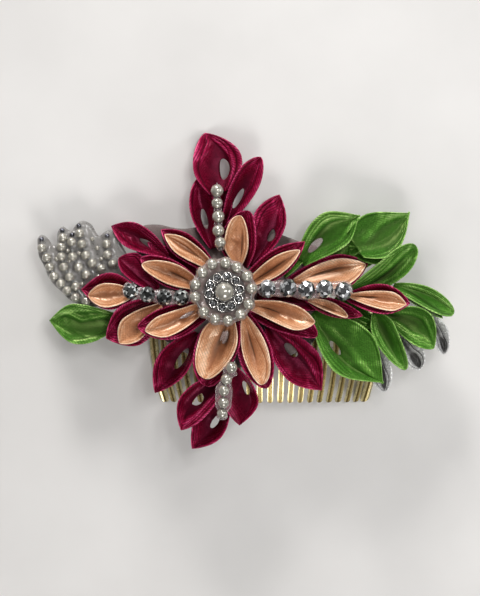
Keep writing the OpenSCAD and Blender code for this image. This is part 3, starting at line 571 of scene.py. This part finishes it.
def spread(t, shape):
    """Width of a petal along its length, as a share of its full width."""
    widest, point, root = shape
    rising = root + (1 - root) * np.sin(np.pi / 2 * np.minimum(t / widest, 1))
    falling = np.maximum(0, np.cos(np.pi / 2 * np.maximum(t - widest, 0) / (1 - widest))) ** point
    return np.maximum(0.035, np.where(t < widest, rising, falling))


def slit_opening(slit, t):
    """Half width of the slit at each station, in millimetres: an ellipse along the keel."""
    if not slit:
        return np.zeros_like(t)
    first, last, half = slit
    inside = 1 - ((t - (first + last) / 2) / ((last - first) / 2)) ** 2
    return half * np.sqrt(np.maximum(inside, 0))


def pleat_folds(across, pleats):
    """Height from 0 to 1 across the pleats of a lip. The last one turns over and stays half open."""
    phase = across * pleats
    whole = np.floor(phase + 1e-9)
    turn = np.where(whole >= pleats - 1, (phase - (pleats - 1)) * 0.62, phase - whole)
    return np.abs(np.sin(np.pi * turn)) ** 0.6


def press_creases(key, sign, t, share, reach, height, shade):
    """Raises the pressed folds of one side, with a painted highlight on the crest and painted shade beside
    it.
    """
    fade = (smooth(t / 0.25) * smooth((1 - t) / 0.2))[:, None]
    for side, low, half_way, high, rise, wide in CREASES.get(key, ()):
        if side == sign:
            line = np.interp(t, (0.2, 0.55, 0.9), (low, half_way, high))[:, None]
            off = (share - line) * reach / wide
            height = height + rise * fade * np.exp(-off ** 2)
            shade = shade + fade * (0.42 * np.exp(-off ** 2) - 0.3 * np.exp(-(off + 1.6) ** 2))
    return height, shade


def press_slots(key, sign, t, share, reach, height, shade):
    """Sinks the hollows of one side and darkens them with painted shade."""
    for side, low, high, place, run, wide, dark in SLOTS.get(key, ()):
        if side == sign:
            line = np.interp(t, (place - run, place + run), (low, high))[:, None]
            off = (share - line) * reach / wide
            near = np.exp(-off ** 2 - ((t[:, None] - place) / run) ** 4)
            height = height - 0.4 * near
            shade = shade - dark * near
    return height, shade


def ruffle(seed, t, share, width, height):
    """Adds the small tucks and swells of a ribbon folded by hand."""
    rng = np.random.default_rng(seed + 900)
    t = t[:, None]
    room = np.minimum(1, width * 1.5)[:, None]
    for _ in range(3):
        place, lean, size = rng.uniform(0.2, 0.9), rng.uniform(-0.5, 0.3), rng.uniform(0.1, 0.24)
        ridge = np.exp(-((t - place - lean * share) / rng.uniform(0.03, 0.06)) ** 2)
        height = height + size * ridge * np.sin(np.pi * np.clip(share, 0, 1)) * room
    for k in (1, 2):
        swell = np.sin(2 * np.pi * (t * rng.uniform(1, 3) + share * rng.uniform(0.4, 1.4))
                       + rng.uniform(0, 6.3))
        height = height + 0.1 / k * swell * share * room
    return height


BOWL_COLUMNS = np.linspace(0, 1, 16)[:-1] ** 0.85
COLUMNS_PER_PLEAT = 5
PLEAT_HEIGHT = 0.34


def side_profile(key, petal, lip, t, sign, seed):
    """Shares from the keel, heights over it in mm, and painted shade of one side, a row for each station."""
    near, far = petal.halves if sign < 0 else reversed(petal.halves)
    width = spread(t, petal.shape)
    reach = width * (near - sign * petal.keel * (near if sign * petal.keel < 0 else far))
    start = np.minimum(slit_opening(petal.slit, t) / reach, 0.8)
    lip_middle, lip_tip, pleats = lip
    lip_width = lip_middle + (lip_tip - lip_middle) * smooth((t - 0.45) / 0.4)
    lip_width = lip_width * (0.45 + 0.55 * smooth(t / 0.25)) * (1 + 0.12 * waves(seed, t))
    edge = np.maximum(1 - np.clip(lip_width / reach, 0.04, 0.62), start + 0.05)
    start, edge = start[:, None], edge[:, None]

    # The bowl rises from the keel to the edge, and the pleated lip goes on from there
    across = np.linspace(0, 1, COLUMNS_PER_PLEAT * pleats + 1)
    bowl = start + (edge - start) * BOWL_COLUMNS
    share = np.concatenate([bowl, edge + (1 - edge) * across], 1)
    top = edge ** 1.6
    height = np.concatenate([top * (bowl / edge) ** 2.2, top + (0.95 - top) * across ** 0.9], 1)
    height = height * (petal.depth * width ** 0.8)[:, None]
    fold = np.broadcast_to(pleat_folds(across, pleats), (len(t), len(across)))
    room = np.minimum(1, reach[:, None] / 3.5) * np.minimum(1, lip_width[:, None] / (0.5 * pleats))
    height[:, len(BOWL_COLUMNS):] += PLEAT_HEIGHT * fold * room - 0.1
    # Painted shade: darkest at the keel and near the base, lighter up the bowl and towards the tip; on the
    # lip, painted shade in the valleys between pleats and painted highlights on their crests and at the rim
    bowl_shade = 0.42 * (bowl / edge) ** 2 + 0.26 * smooth((t[:, None] - 0.35) / 0.6)
    shade = np.concatenate([bowl_shade, -0.12 + 0.68 * fold + 0.28 * smooth((across - 0.75) / 0.25)], 1)

    reach = np.maximum(reach, 1)[:, None]
    height, shade = press_creases(key, sign, t, share, reach, height, shade)
    height, shade = press_slots(key, sign, t, share, reach, height, shade)
    return share, ruffle(seed, t, share, width, height), np.clip(shade, -0.5, 1)


def keel_line(petal, t):
    """Places along the keel, seen from the front, and the directions along the petal and to its left."""
    base, tip = np.array([petal.base, petal.tip], float)
    run = tip - base
    left = np.array([-run[1], run[0]]) / np.hypot(*run)
    return base + run * t[:, None] + left * (petal.bow * 4 * t * (1 - t))[:, None], run, left


def stations(slit):
    """Shares of the length at which a petal's rows of points stand, closer at its tip and round its slit."""
    t = 1 - (1 - np.linspace(0, 1, 46)) ** 1.5
    if slit:
        first, last, _ = slit
        t = t[(t < first - 0.008) | (t > last + 0.008)]
        t = np.sort(np.concatenate([t, first + (last - first) * (1 - np.cos(np.linspace(0, np.pi, 15))) / 2]))
    return t


# The weave runs across a petal on the bias: cosine and sine of its turn
BIAS_ALONG, BIAS_OVER = 0.75, 0.66


def petal_surface(key, petal, lips, seed):
    """Points and shades of a petal's middle surface, its quads, and their places in the weave."""
    t = stations(petal.slit)
    width = spread(t, petal.shape)
    line, run, left = keel_line(petal, t)
    is_open = np.zeros(len(t), bool)
    if petal.slit:
        is_open = (t > petal.slit[0] + 1e-6) & (t < petal.slit[1] - 1e-6)
    points, shades, quads, quad_uvs, index = [], [], [], [], {}
    for sign, lip in zip((-1, 1), lips):
        share, height, shade = side_profile(key, petal, lip, t, sign, seed * 7 + sign)
        u = petal.keel + sign * share * (1 - sign * petal.keel)
        uneven = 1 + 0.02 * waves(seed * 3 + sign, t)[:, None] * share
        out = -u * np.where(u < 0, *petal.halves) * width[:, None] * uneven
        low, high, rise = petal.level
        level = low * (1 - t[:, None]) + high * t[:, None] + rise * u * width[:, None]
        places = np.concatenate([line[:, None, :] + left * out[..., None], (level + height)[..., None]], -1)
        along = (t * np.hypot(*run))[:, None]
        steps = np.linalg.norm(np.diff(places, axis=1), axis=2)
        over = np.concatenate([np.zeros((len(t), 1)), np.cumsum(steps, 1)], 1)
        uv = np.stack([along * BIAS_ALONG + over * BIAS_OVER, over * BIAS_ALONG - along * BIAS_OVER], -1) * MM
        for i, j in np.ndindex(share.shape):
            if j == 0 and sign > 0 and not is_open[i]:
                index[sign, i, j] = index[-1, i, 0]
                continue
            index[sign, i, j] = len(points)
            points.append(places[i, j])
            shades.append(shade[i, j])
        for i, j in np.ndindex(len(t) - 1, share.shape[1] - 1):
            quad = [(i, j), (i, j + 1), (i + 1, j + 1), (i + 1, j)][::sign]
            quads.append([index[(sign,) + corner] for corner in quad])
            quad_uvs.append([uv[corner] for corner in quad])
    return np.array(points), np.array(shades), quads, quad_uvs


def edge_normals(points, border, normal):
    """Unit directions out of the surface at the points of its border, and which points those are."""
    outward = np.zeros_like(points)
    for p, q, _ in border:
        step = np.cross(points[q] - points[p], normal[p])
        outward[p] += step
        outward[q] += step
    size = np.linalg.norm(outward, axis=1)
    on_border = size > 1e-9
    outward[on_border] /= size[on_border][:, None]
    return outward, on_border


# Thickness of the ribbon, in millimetres
RIBBON_THICKNESS = 0.4


def ribbon(name, petal, lips, material, seed):
    """A boat-shaped petal of folded ribbon, as a closed thin shell round its middle surface."""
    points, shades, quads, quad_uvs = petal_surface(name.removesuffix("_ribbon"), petal, lips, seed)
    corners = np.array(quads)
    a, b, c, d = (points[corners[:, k]] for k in range(4))
    face_normal = np.cross(c - a, d - b)
    normal = np.zeros_like(points)
    for k in range(4):
        np.add.at(normal, corners[:, k], face_normal)
    normal /= np.maximum(np.linalg.norm(normal, axis=1), 1e-12)[:, None]
    edges = {(quad[k], quad[(k + 1) % 4]): (f, k) for f, quad in enumerate(quads) for k in range(4)}
    border = [(p, q, where) for (p, q), where in edges.items() if (q, p) not in edges]
    outward, on_border = edge_normals(points, border, normal)

    # Front, back, and a rounded rim between them
    half = RIBBON_THICKNESS / 2
    count = len(points)
    rim = np.cumsum(on_border) - 1 + 2 * count
    shell = np.concatenate([points + normal * half, points - normal * half,
                            (points + outward * half * 0.8)[on_border]])
    # Tones: the front's painted shade, a plain middle tone on the back, and the rim painted a little lighter
    tones = np.concatenate([shades, np.full(count, 0.55), np.minimum(1, shades[on_border] + 0.1)])
    faces = quads + [[v + count for v in reversed(quad)] for quad in quads]
    uvs = quad_uvs + [list(reversed(uv)) for uv in quad_uvs]
    for p, q, (f, k) in border:
        up, uq = quad_uvs[f][k], quad_uvs[f][(k + 1) % 4]
        faces += [[q, p, int(rim[p]), int(rim[q])], [p + count, q + count, int(rim[q]), int(rim[p])]]
        uvs += [[uq, up, up, uq], [up, uq, uq, up]]
    obj = mesh_piece(name, rows(shell), faces, material)
    obj.data.attributes.new("shade", "FLOAT", "POINT").data.foreach_set("value", tones.tolist())
    layer = obj.data.uv_layers.new(name="weave")
    layer.data.foreach_set("uv", np.array([uv for face in uvs for uv in face]).ravel().tolist())
    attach(obj, "root")
    return obj


def petals(stem, table, material, seed):
    """The petals of a table, each in place of the solid of its name."""
    for number, row in enumerate(table, 1):
        lips = LIPS[stem].get(number) or LIPS[stem][0]
        obj = ribbon(f"{stem}_{number}_ribbon", Petal(*row), lips, material, seed + number - 1)
        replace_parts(obj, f"{stem}_{number}")


petals("single_petal", SINGLES, WINE, 100)
petals("outer_petal", OUTERS, WINE, 200)
petals("inner_petal", INNERS, PEACH, 300)
petals("leaf", LEAVES, GREEN, 400)
for number, (leaf, row) in enumerate(UNDERFOLDS.items()):
    obj = ribbon(f"{leaf}_underfold", Petal(*row), PLAIN_LIPS, GREEN, 500 + number)
    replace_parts(obj, leaf)
for number, row in enumerate(GREEN_ENDS + WINE_ENDS):
    material, slot = (GREEN, "green_satin") if row in GREEN_ENDS else (WINE, "wine_satin")
    ribbon(f"ribbon_end_{number + 1}", Petal(*row), PLAIN_LIPS, material, 700 + number)
for number, row in enumerate(SILVERS):
    name = f"silver_petal_{number + 1}"
    obj = ribbon(name, Petal(*row), SILVER_LIPS, SILVER, 600 + number)
    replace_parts(obj, "silver_petals")


# Meshes of glass, pearls, glue and sheets
def unit(v):
    return v / max(np.linalg.norm(v), 1e-12)


def polar(radius, degrees):
    return radius * math.cos(math.radians(degrees)), radius * math.sin(math.radians(degrees))


def face_piece(name, chunks, material, smooth_faces=False):
    """One piece from lists of (points, faces, tones), with a tone for each face."""
    points, faces, tones = [], [], []
    for chunk_points, chunk_faces, chunk_tones in chunks:
        base = len(points)
        points.extend(chunk_points.tolist())
        faces.extend([[v + base for v in face] for face in chunk_faces])
        tones.extend(chunk_tones)
    obj = mesh_piece(name, rows(points), faces, material, smooth_faces)
    obj.data.attributes.new("facet", "FLOAT", "FACE").data.foreach_set("value", tones)
    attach(obj, "root")
    return obj


# Rings of a cut stone from the top down: number of points, radius, turn as a share of a step, height
CROWN = ((8, 0.38, 0, 0.86), (8, 0.72, 0.5, 0.68), (16, 1.0, 0, 0.34), (16, 1.0, 0, -0.10))
PAVILION = ((8, 0.76, 0.5, -0.50), (8, 0.43, 0, -0.80))
BACK_TONE = 0.3
# The draws for the tones and turns of the stones
rng = np.random.default_rng(11)


def cut_glass(centre, radius, squeeze, lift, turn, levels, whole):
    """A round faceted stone that shows its table to +Z, with painted reflection tones drawn from the levels.

    A whole one is a bead with a back; the other kind is cut off flat under its girdle.
    """
    points = []
    for count, ring_radius, shift, z in CROWN + (PAVILION if whole else ()):
        for k in range(count):
            angle = (k + shift) * 2 * math.pi / count + turn
            points.append([ring_radius * math.cos(angle) * squeeze, ring_radius * math.sin(angle), z * lift])
    # Painted reflections: the table dark, the crown facets drawn from the levels, the girdle dim, the back at
    # random and at a middle tone
    faces, tones = [list(range(8))], [rng.uniform(0.0, 0.15)]
    for k in range(8):
        n = (k + 1) % 8
        j0, j1, j2 = 16 + 2 * k, 16 + 2 * k + 1, 16 + (2 * k + 2) % 16
        for face in ((k, 8 + k, n), (8 + k, 8 + n, n), (8 + k, j0, j1), (8 + k, j1, j2), (8 + k, j2, 8 + n)):
            faces.append(list(face))
            tones.append(float(np.clip(rng.choice(levels) + rng.normal() * 0.06, 0, 1)))
    for k in range(16):
        n = (k + 1) % 16
        faces.append([16 + k, 32 + k, 32 + n, 16 + n])
        tones.append(float(rng.uniform(0.05, 0.3)))
    if whole:
        for k in range(8):
            n = (k + 1) % 8
            j0, j1, j2 = 32 + 2 * k, 32 + 2 * k + 1, 32 + (2 * k + 2) % 16
            for face in ((48 + k, j1, j0), (48 + k, j2, j1), (48 + k, 48 + n, j2),
                         (56 + k, 56 + n, 48 + k), (48 + k, 56 + n, 48 + n)):
                faces.append(list(face))
                tones.append(float(rng.random()))
    last = len(points) - 1
    faces.append(list(range(last, last - (8 if whole else 16), -1)))
    tones.append(BACK_TONE)
    return np.array(points) * radius + np.asarray(centre, float), faces, tones


def tube(path, radius, sides, closed=False, flat=1.0):
    """A tube along a path; radius is a number or one for each point, and flat its height over its width."""
    path = np.asarray(path, float)
    n = len(path)
    radius = np.broadcast_to(np.asarray(radius, float), (n,))
    points, faces = [], []
    for i in range(n):
        before = path[(i - 1) % n] if closed or i > 0 else path[i]
        after = path[(i + 1) % n] if closed or i < n - 1 else path[i]
        along = unit(after - before)
        side = unit(np.cross(along, (0, 0, 1)))
        up = np.cross(side, along)
        for k in range(sides):
            w = 2 * math.pi * k / sides
            points.append(path[i] + radius[i] * (math.cos(w) * side + flat * math.sin(w) * up))
    for i in range(n if closed else n - 1):
        for k in range(sides):
            a, b = i * sides + k, i * sides + (k + 1) % sides
            faces.append([a, b, (b + sides) % (n * sides), (a + sides) % (n * sides)])
    if not closed:
        faces.append(list(range(sides - 1, -1, -1)))
        faces.append([(n - 1) * sides + k for k in range(sides)])
    return np.array(points), faces, [0.6] * len(faces)


def ball(centre, radius, rings, sides):
    points, faces = [], []
    for i in range(1, rings):
        a = math.pi * i / rings
        for k in range(sides):
            w = 2 * math.pi * k / sides
            points.append((math.sin(a) * math.cos(w), math.sin(a) * math.sin(w), math.cos(a)))
    top, low = len(points), len(points) + 1
    points += [(0, 0, 1), (0, 0, -1)]
    for k in range(sides):
        n = (k + 1) % sides
        for i in range(rings - 2):
            faces.append([i * sides + k, (i + 1) * sides + k, (i + 1) * sides + n, i * sides + n])
        faces += [[top, k, n], [low, (rings - 2) * sides + n, (rings - 2) * sides + k]]
    return np.array(points) * radius + np.asarray(centre, float), faces, [0.6] * len(faces)


def smooth_loop(points, count):
    """A closed smooth curve through points, at even steps."""
    p = np.asarray(points, float)
    n = len(p)
    fine = []
    for i in range(n):
        a, b, c, d = p[(i - 1) % n], p[i], p[(i + 1) % n], p[(i + 2) % n]
        for s in np.linspace(0, 1, 12, endpoint=False):
            fine.append(0.5 * (2 * b + (c - a) * s + (2 * a - 5 * b + 4 * c - d) * s ** 2
                               + (3 * b - a - 3 * c + d) * s ** 3))
    closed = np.vstack([fine, fine[:1]])
    total = np.concatenate([[0], np.cumsum(np.linalg.norm(np.diff(closed, axis=0), axis=1))])
    at = np.linspace(0, total[-1], count, endpoint=False)
    return np.stack([np.interp(at, total, closed[:, k]) for k in (0, 1)], 1)


def edge_distance(points, loop):
    """Distance of each point from a closed loop, in the plane."""
    best = np.full(len(points), 1e9)
    for a, b in zip(loop, np.roll(loop, -1, axis=0)):
        t = np.clip(((points - a) @ (b - a)) / max((b - a) @ (b - a), 1e-12), 0, 1)
        best = np.minimum(best, np.linalg.norm(points - (a + t[:, None] * (b - a)), axis=1))
    return best


def points_inside(loop, step):
    """Points of a triangular grid inside a closed loop, not too close to it."""
    low, high = loop.min(0), loop.max(0)
    x, y = np.meshgrid(np.arange(low[0], high[0], step), np.arange(low[1], high[1], step * 0.87))
    x = x + (np.arange(len(x)) % 2)[:, None] * step / 2
    grid = np.stack([x.ravel(), y.ravel()], 1)
    turn = np.zeros(len(grid))
    for a, b in zip(loop, np.roll(loop, -1, axis=0)):
        u, v = a - grid, b - grid
        turn += np.arctan2(u[:, 0] * v[:, 1] - u[:, 1] * v[:, 0], (u * v).sum(1))
    grid = grid[np.abs(turn) > 3]
    return grid[edge_distance(grid, loop) > step * 0.45]


def slab(name, loop, step, top, bottom, material):
    """A flat piece inside a closed outline; top and bottom give heights from places and edge distances."""
    verts = [Vector(p) for p in np.vstack([loop, points_inside(loop, step)])]
    count = len(loop)
    made = delaunay_2d_cdt(verts, [(i, (i + 1) % count) for i in range(count)], [list(range(count))], 1, 1e-6)
    flat = np.array([tuple(v) for v in made[0]])
    tris = [list(t) for t in made[2]]
    away = edge_distance(flat, loop)
    n = len(flat)
    surface = np.vstack([np.column_stack([flat, side(flat, away)]) for side in (top, bottom)])
    edges = [(t[k], t[(k + 1) % 3]) for t in tris for k in range(3)]
    known = set(edges)
    rim = [(a, b) for a, b in edges if (b, a) not in known]
    faces = tris + [[v + n for v in reversed(t)] for t in tris] + [[b, a, a + n, b + n] for a, b in rim]
    obj = mesh_piece(name, rows(surface), faces, material)
    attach(obj, "root")
    area = sum(abs(np.cross(flat[t[1]] - flat[t[0]], flat[t[2]] - flat[t[0]])) for t in tris) / 2
    return obj, area * MM ** 2, np.ptp(loop, axis=0) * MM


def grain(points, size, seed):
    """Smooth noise from -1 to 1 at points of the plane."""
    shift = Vector((seed * 7.3, seed * 1.7, seed * 3.1))
    return np.array([noise.noise(Vector((p[0], p[1], 0)) / size + shift) for p in points])


def humps(points, centres, reach, rise):
    """Height of glue drawn up round round beads, at points of the plane."""
    out = np.zeros(len(points))
    for centre in centres:
        away = np.linalg.norm(points - np.asarray(centre), axis=1)
        out = np.maximum(out, rise * np.exp(-(away / reach) ** 4))
    return out


def underside(level):
    """The bottom of a slab at that level, a little higher at its edge."""
    return lambda places, away: level + 0.2 * (1 - np.minimum(1, away / 0.6))


# Places along the strings of pearls and beads. Each ends with a bare end of its thread, and the two bead
# strings start with one too
UPPER_STRING = [[-3, 40.5, 8.7], [-3, 35.5, 8.4], [-2.5, 30.1, 8.9], [-2.5, 24.4, 9.9], [-1.7, 19.5, 12],
                [-1.3, 16.8, 13]]
LOWER_STRING = [[2.8, -30, 17.7], [0.8, -34.7, 16.5], [-0.2, -39.2, 15.9], [-0.4, -44, 15.2],
                [-0.9, -48.3, 13.6], [-1, -50.8, 12.7]]
CLEAR_STRING = [[13.2, 1.1, 13.7], [17, 1.2, 13.6], [25.2, 1.6, 13.2], [32.6, 0.8, 13.4],
                [39.8, 1.2, 14.3], [47.2, 0.2, 14.4], [51, -0.2, 14.4]]
DARK_STRING = [[-13.6, -2.2, 13.7], [-17.2, -2.2, 14], [-23.9, -2.1, 13.7], [-30.6, -1.1, 13.9],
               [-37.2, 0.3, 14.6], [-40.6, 1, 14.9]]


def string_beads(node, string, diameter, length, levels, material):
    """Beads of cut glass on a side string, in place of the solids of that node."""
    chunks = [cut_glass(place, diameter / 2, length / diameter, 1.0, rng.uniform(0, 0.8), levels, True)
              for place in string[1:-1]]
    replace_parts(face_piece(f"{node}_cut", chunks, material), node)


# Levels of painted reflection that the facets' brightness is drawn from
CLEAR_REFLECTION_LEVELS, STONE_REFLECTION_LEVELS = (0, 0.1, 0.25, 0.5, 1), (0, 0.05, 0.12, 0.25, 0.7)
DARK_REFLECTION_LEVELS = (0, 0, 0.02, 0.06, 0.1, 0.16, 0.9)
string_beads("clear_beads", CLEAR_STRING, 7.4, 6.8, CLEAR_REFLECTION_LEVELS, CLEAR_GLASS)
string_beads("dark_beads", DARK_STRING, 6.4, 6.1, DARK_REFLECTION_LEVELS, DARK_GLASS)

# Rhinestones of the brooch in their cups, with rims, and a ring of little balls round the middle pearl
STONE_COUNT, STONE_RING, STONE_START, STONE_RADIUS, STONE_LEVEL = 10, 6.2, 9, 1.36, 17.2
RIM_RADIUS, RIM_LEVEL, RIM_WIRE = 1.68, 18.25, 0.22
BALL_COUNT, BALL_RING, BALL_RADIUS = 40, 3.9, 0.22
stones = [polar(STONE_RING, 360 / STONE_COUNT * i + STONE_START) for i in range(STONE_COUNT)]
chunks = [cut_glass((x, y, STONE_LEVEL), STONE_RADIUS, 1.0, 0.8, rng.uniform(0, 0.8), STONE_REFLECTION_LEVELS, False)
          for x, y in stones]
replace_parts(face_piece("rhinestones_cut", chunks, STONE_GLASS), "rhinestones")
chunks = []
for x, y in stones:
    ring = [(x + RIM_RADIUS * math.cos(w), y + RIM_RADIUS * math.sin(w), RIM_LEVEL)
            for w in np.linspace(0, 2 * math.pi, 24, endpoint=False)]
    chunks.append(tube(ring, RIM_WIRE, 8, closed=True))
for w in np.linspace(0, 2 * math.pi, BALL_COUNT, endpoint=False):
    chunks.append(ball((BALL_RING * math.cos(w), BALL_RING * math.sin(w), STONE_LEVEL), BALL_RADIUS, 6, 8))
face_piece("brooch_milling", chunks, CHROME, True)

# Glue pad of the brooch, drawn up round the ring of pearls: their angles and distances from the middle
RING_PEARLS = [
    [114, 12], [88, 11.4], [63, 10.8], [35, 10.8], [7, 10.8], [-27, 10.8], [-55, 10.9],
    [-83, 11.3], [-109, 11.4], [-136, 11.4], [-170, 11.8], [166, 11.8], [139, 11.6]
]
PAD_RADIUS, PAD_BOTTOM, PAD_TOP = 11.6, 14.5, 14.7
COLLAR = 2.75
pad_pearls = [polar(radius, angle) for angle, radius in RING_PEARLS]


def pad_reach(w):
    """Distance from the middle to the pad's edge: its own radius, or as far as a pearl's collar goes."""
    reaches = [PAD_RADIUS]
    for x, y in pad_pearls:
        off = w - math.atan2(y, x)
        if math.cos(off) > 0.9:
            half_chord = math.sqrt(max(COLLAR ** 2 - (math.hypot(x, y) * math.sin(off)) ** 2, 0))
            reaches.append(math.hypot(x, y) * math.cos(off) + half_chord)
    return max(reaches)


def pad_surface(places, away):
    drawn_up = 1.3 * np.minimum(1, away / 0.9) ** 0.5
    collars = humps(places, pad_pearls, 2.5, 1.7) * np.minimum(1, away / 0.8) ** 0.5
    return PAD_TOP + drawn_up + collars + 0.12 * grain(places, 1.5, 1)


angles = np.linspace(0, 2 * math.pi, 180, endpoint=False)
pad_edge = np.array([pad_reach(w) for w in angles])
pad_edge = sum(np.roll(pad_edge, k) for k in range(-3, 4)) / 7
pad_loop = np.stack([pad_edge * np.cos(angles), pad_edge * np.sin(angles)], 1)
pad, _, _ = slab("glue_pad_drawn", pad_loop, 0.7, pad_surface, underside(PAD_BOTTOM), GLUE)
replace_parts(pad, "glue_pad")


def glue_bed(name, path, radius, sink, seed):
    """A lumpy bead of glue under a string."""
    path = np.asarray(path, float)
    total = np.concatenate([[0], np.cumsum(np.linalg.norm(np.diff(path, axis=0), axis=1))])
    at = np.linspace(0, total[-1], 60)
    line = np.stack([np.interp(at, total, path[:, k]) for k in range(3)], 1)
    line[:, 1] += 0.5 * waves(seed + 1, at / total[-1])
    line[:, 2] -= sink
    lumps = 1 + 0.16 * waves(seed, at / total[-1] * 3)
    ends = np.minimum(1, np.minimum(at, total[-1] - at) / 1.5 + 0.15) ** 0.5
    face_piece(name, [tube(line, radius * lumps * ends, 14, flat=0.55)], HAZE, True)


glue_bed("glue_clear_beads", CLEAR_STRING, 3.1, 2.6, 21)
glue_bed("glue_dark_beads", DARK_STRING, 2.6, 2.2, 22)
glue_bed("glue_upper_string", UPPER_STRING, 1.6, 1.7, 23)
glue_bed("glue_lower_string", LOWER_STRING, 3.0, 1.3, 24)


def glue_window(name, petal, material):
    """A film of glue behind a petal's slit."""
    first, last, half = petal.slit
    at = np.linspace(first - 0.02, last + 0.02, 17)
    line, _, left = keel_line(petal, at)
    line = line - left * 0.85 * petal.keel * petal.halves[0]
    depth = petal.level[0] * (1 - at) + petal.level[1] * at - 0.25
    swell = np.sqrt(np.maximum(1 - ((at - at.mean()) / (last + 0.02 - at.mean())) ** 2, 0.02))
    path = np.column_stack([line, depth])
    face_piece(name, [tube(path, (half + 0.4) * swell, 12, flat=0.22)], material, True)


glue_window("glue_window_8", Petal(*INNERS[7]), WINDOW)
glue_window("glue_window_9", Petal(*INNERS[8]), WINDOW)
glue_window("glue_window_leaf_2", Petal(*LEAVES[1]), HAZE)

# Felt: a soft irregular sheet. Angles and distances of its edge from the middle of the brooch
FELT_EDGE = [
    [0, 40], [22, 43], [42, 33], [76, 33], [100, 28], [121, 30], [141, 42], [160, 38], [180, 36],
    [215, 32], [270, 30], [300, 33], [329, 41], [345, 41]
]
FELT_BOTTOM, FELT_TOP = 0.1, 1.15


def felt_top(places, away):
    return FELT_TOP - 0.45 * (1 - np.minimum(1, away / 0.8)) + 0.1 * grain(places, 1.1, 3)


def felt_bottom(places, away):
    return FELT_BOTTOM + 0.35 * (1 - np.minimum(1, away / 0.8)) - 0.08 * grain(places, 1.3, 4)


felt_loop = smooth_loop([polar(radius, angle) for angle, radius in FELT_EDGE], 260)
felt_loop = felt_loop * (1 + 0.012 * waves(5, np.linspace(0, 14, 260)))[:, None]
felt_sheet, area, size = slab("felt_sheet", felt_loop, 1.4, felt_top, felt_bottom, FELT)
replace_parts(felt_sheet, "felt")

# Wing: a clear film with glue drawn up round the pearls of its strands, and smaller pearls between them
WING_STRANDS = [
    [[-73.6, 21.2], [-73.4, 17.6], [-71.5, 13.8], [-70.3, 10], [-68.6, 6.3], [-65.8, 3.5], [-63.3, 0.6],
     [-59.9, -2.1]],
    [[-65.3, 24.7], [-65, 21.8], [-65.6, 18.1], [-65.6, 14.2], [-64.6, 10.1], [-62.3, 6], [-59.8, 2.2],
     [-55.6, -3.6]],
    [[-61.3, 23], [-61.5, 20.1], [-61.1, 14.2], [-58.6, 9.9], [-55.6, 6.9]],
    [[-58.6, 26.6], [-58.2, 23.5], [-57.4, 19.3], [-55.8, 14.8], [-53.2, 11.5], [-49.5, 9.3]],
    [[-47.2, 22.6], [-47.3, 19.3], [-47, 15], [-44.9, 11.3]]
]
WING_OUTLINE = [
    [-75.3, 19], [-75.3, 21.6], [-73.6, 23], [-71.4, 21.8], [-69.4, 19], [-68, 18.6], [-67.4, 21],
    [-67.2, 24], [-65.4, 26.4], [-63.2, 25.2], [-61.6, 24.6], [-60.4, 26.4], [-58.2, 28.3],
    [-55.8, 28.4], [-53.4, 26.8], [-51.8, 24], [-50.4, 22.4], [-48.8, 23.8], [-46.8, 24.8],
    [-44.4, 24], [-42, 20], [-38, 12], [-37, 3], [-40, -3.2], [-48, -5.4], [-55.6, -6.2],
    [-59.6, -4.6], [-62.6, -3], [-65.6, 0], [-68.6, 2.8], [-71, 6.2], [-72.8, 10.6], [-74.8, 14.4]
]
SMALL_PEARLS = [
    (-63, 16.5), (-62.4, 12.6), (-58.4, 15.6), (-51.2, 17.6), (-50.8, 6.2), (-57.2, 3.2), (-61.4, -2.6),
    (-67.6, 13.2), (-54.4, 1.8), (-53.2, 21.2), (-49.6, 13.2)
]
SMALL_PEARL_RADIUS, SMALL_PEARL_LEVEL = 0.95, 3.3
WING_BOTTOM, WING_TOP = 1.4, 1.75
wing_pearls = [place for strand in WING_STRANDS for place in strand]


def wing_surface(places, away):
    body = 0.6 * np.minimum(1, away / 0.7) ** 0.5
    collars = humps(places, wing_pearls, 2.0, 1.3) * np.minimum(1, away / 0.6)
    return WING_TOP + body + collars + 0.08 * grain(places, 1.5, 6)


wing_loop = smooth_loop(WING_OUTLINE, 220)
wing, _, _ = slab("wing_film", wing_loop, 0.8, wing_surface, underside(WING_BOTTOM), FILM)
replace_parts(wing, "wing_sheet")
chunks = [ball((x, y, SMALL_PEARL_LEVEL), SMALL_PEARL_RADIUS, 8, 14) for x, y in SMALL_PEARLS]
face_piece("wing_small_beads", chunks, PEARL, True)


# Solids that stay as they are, with their materials
def dress(name, material, smooth_faces):
    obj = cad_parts[name]
    if not obj.material_slots:
        obj.data.materials.append(material)
    for slot in obj.material_slots:
        slot.link = "OBJECT"
        slot.material = material
    if smooth_faces:
        obj.data.polygons.foreach_set("use_smooth", [True] * len(obj.data.polygons))


for name, material, smooth_faces in (
        ("comb", BRASS, False), ("wing_pearls", PEARL, True), ("wing_tip_beads", DARK_BEAD, True),
        ("threads", THREAD, True), ("brooch_setting", PLATE, False), ("middle_pearl", PEARL, True),
        ("ring_pearls", PEARL, True), ("string_pearls", PEARL, True)):
    dress(name, material, smooth_faces)
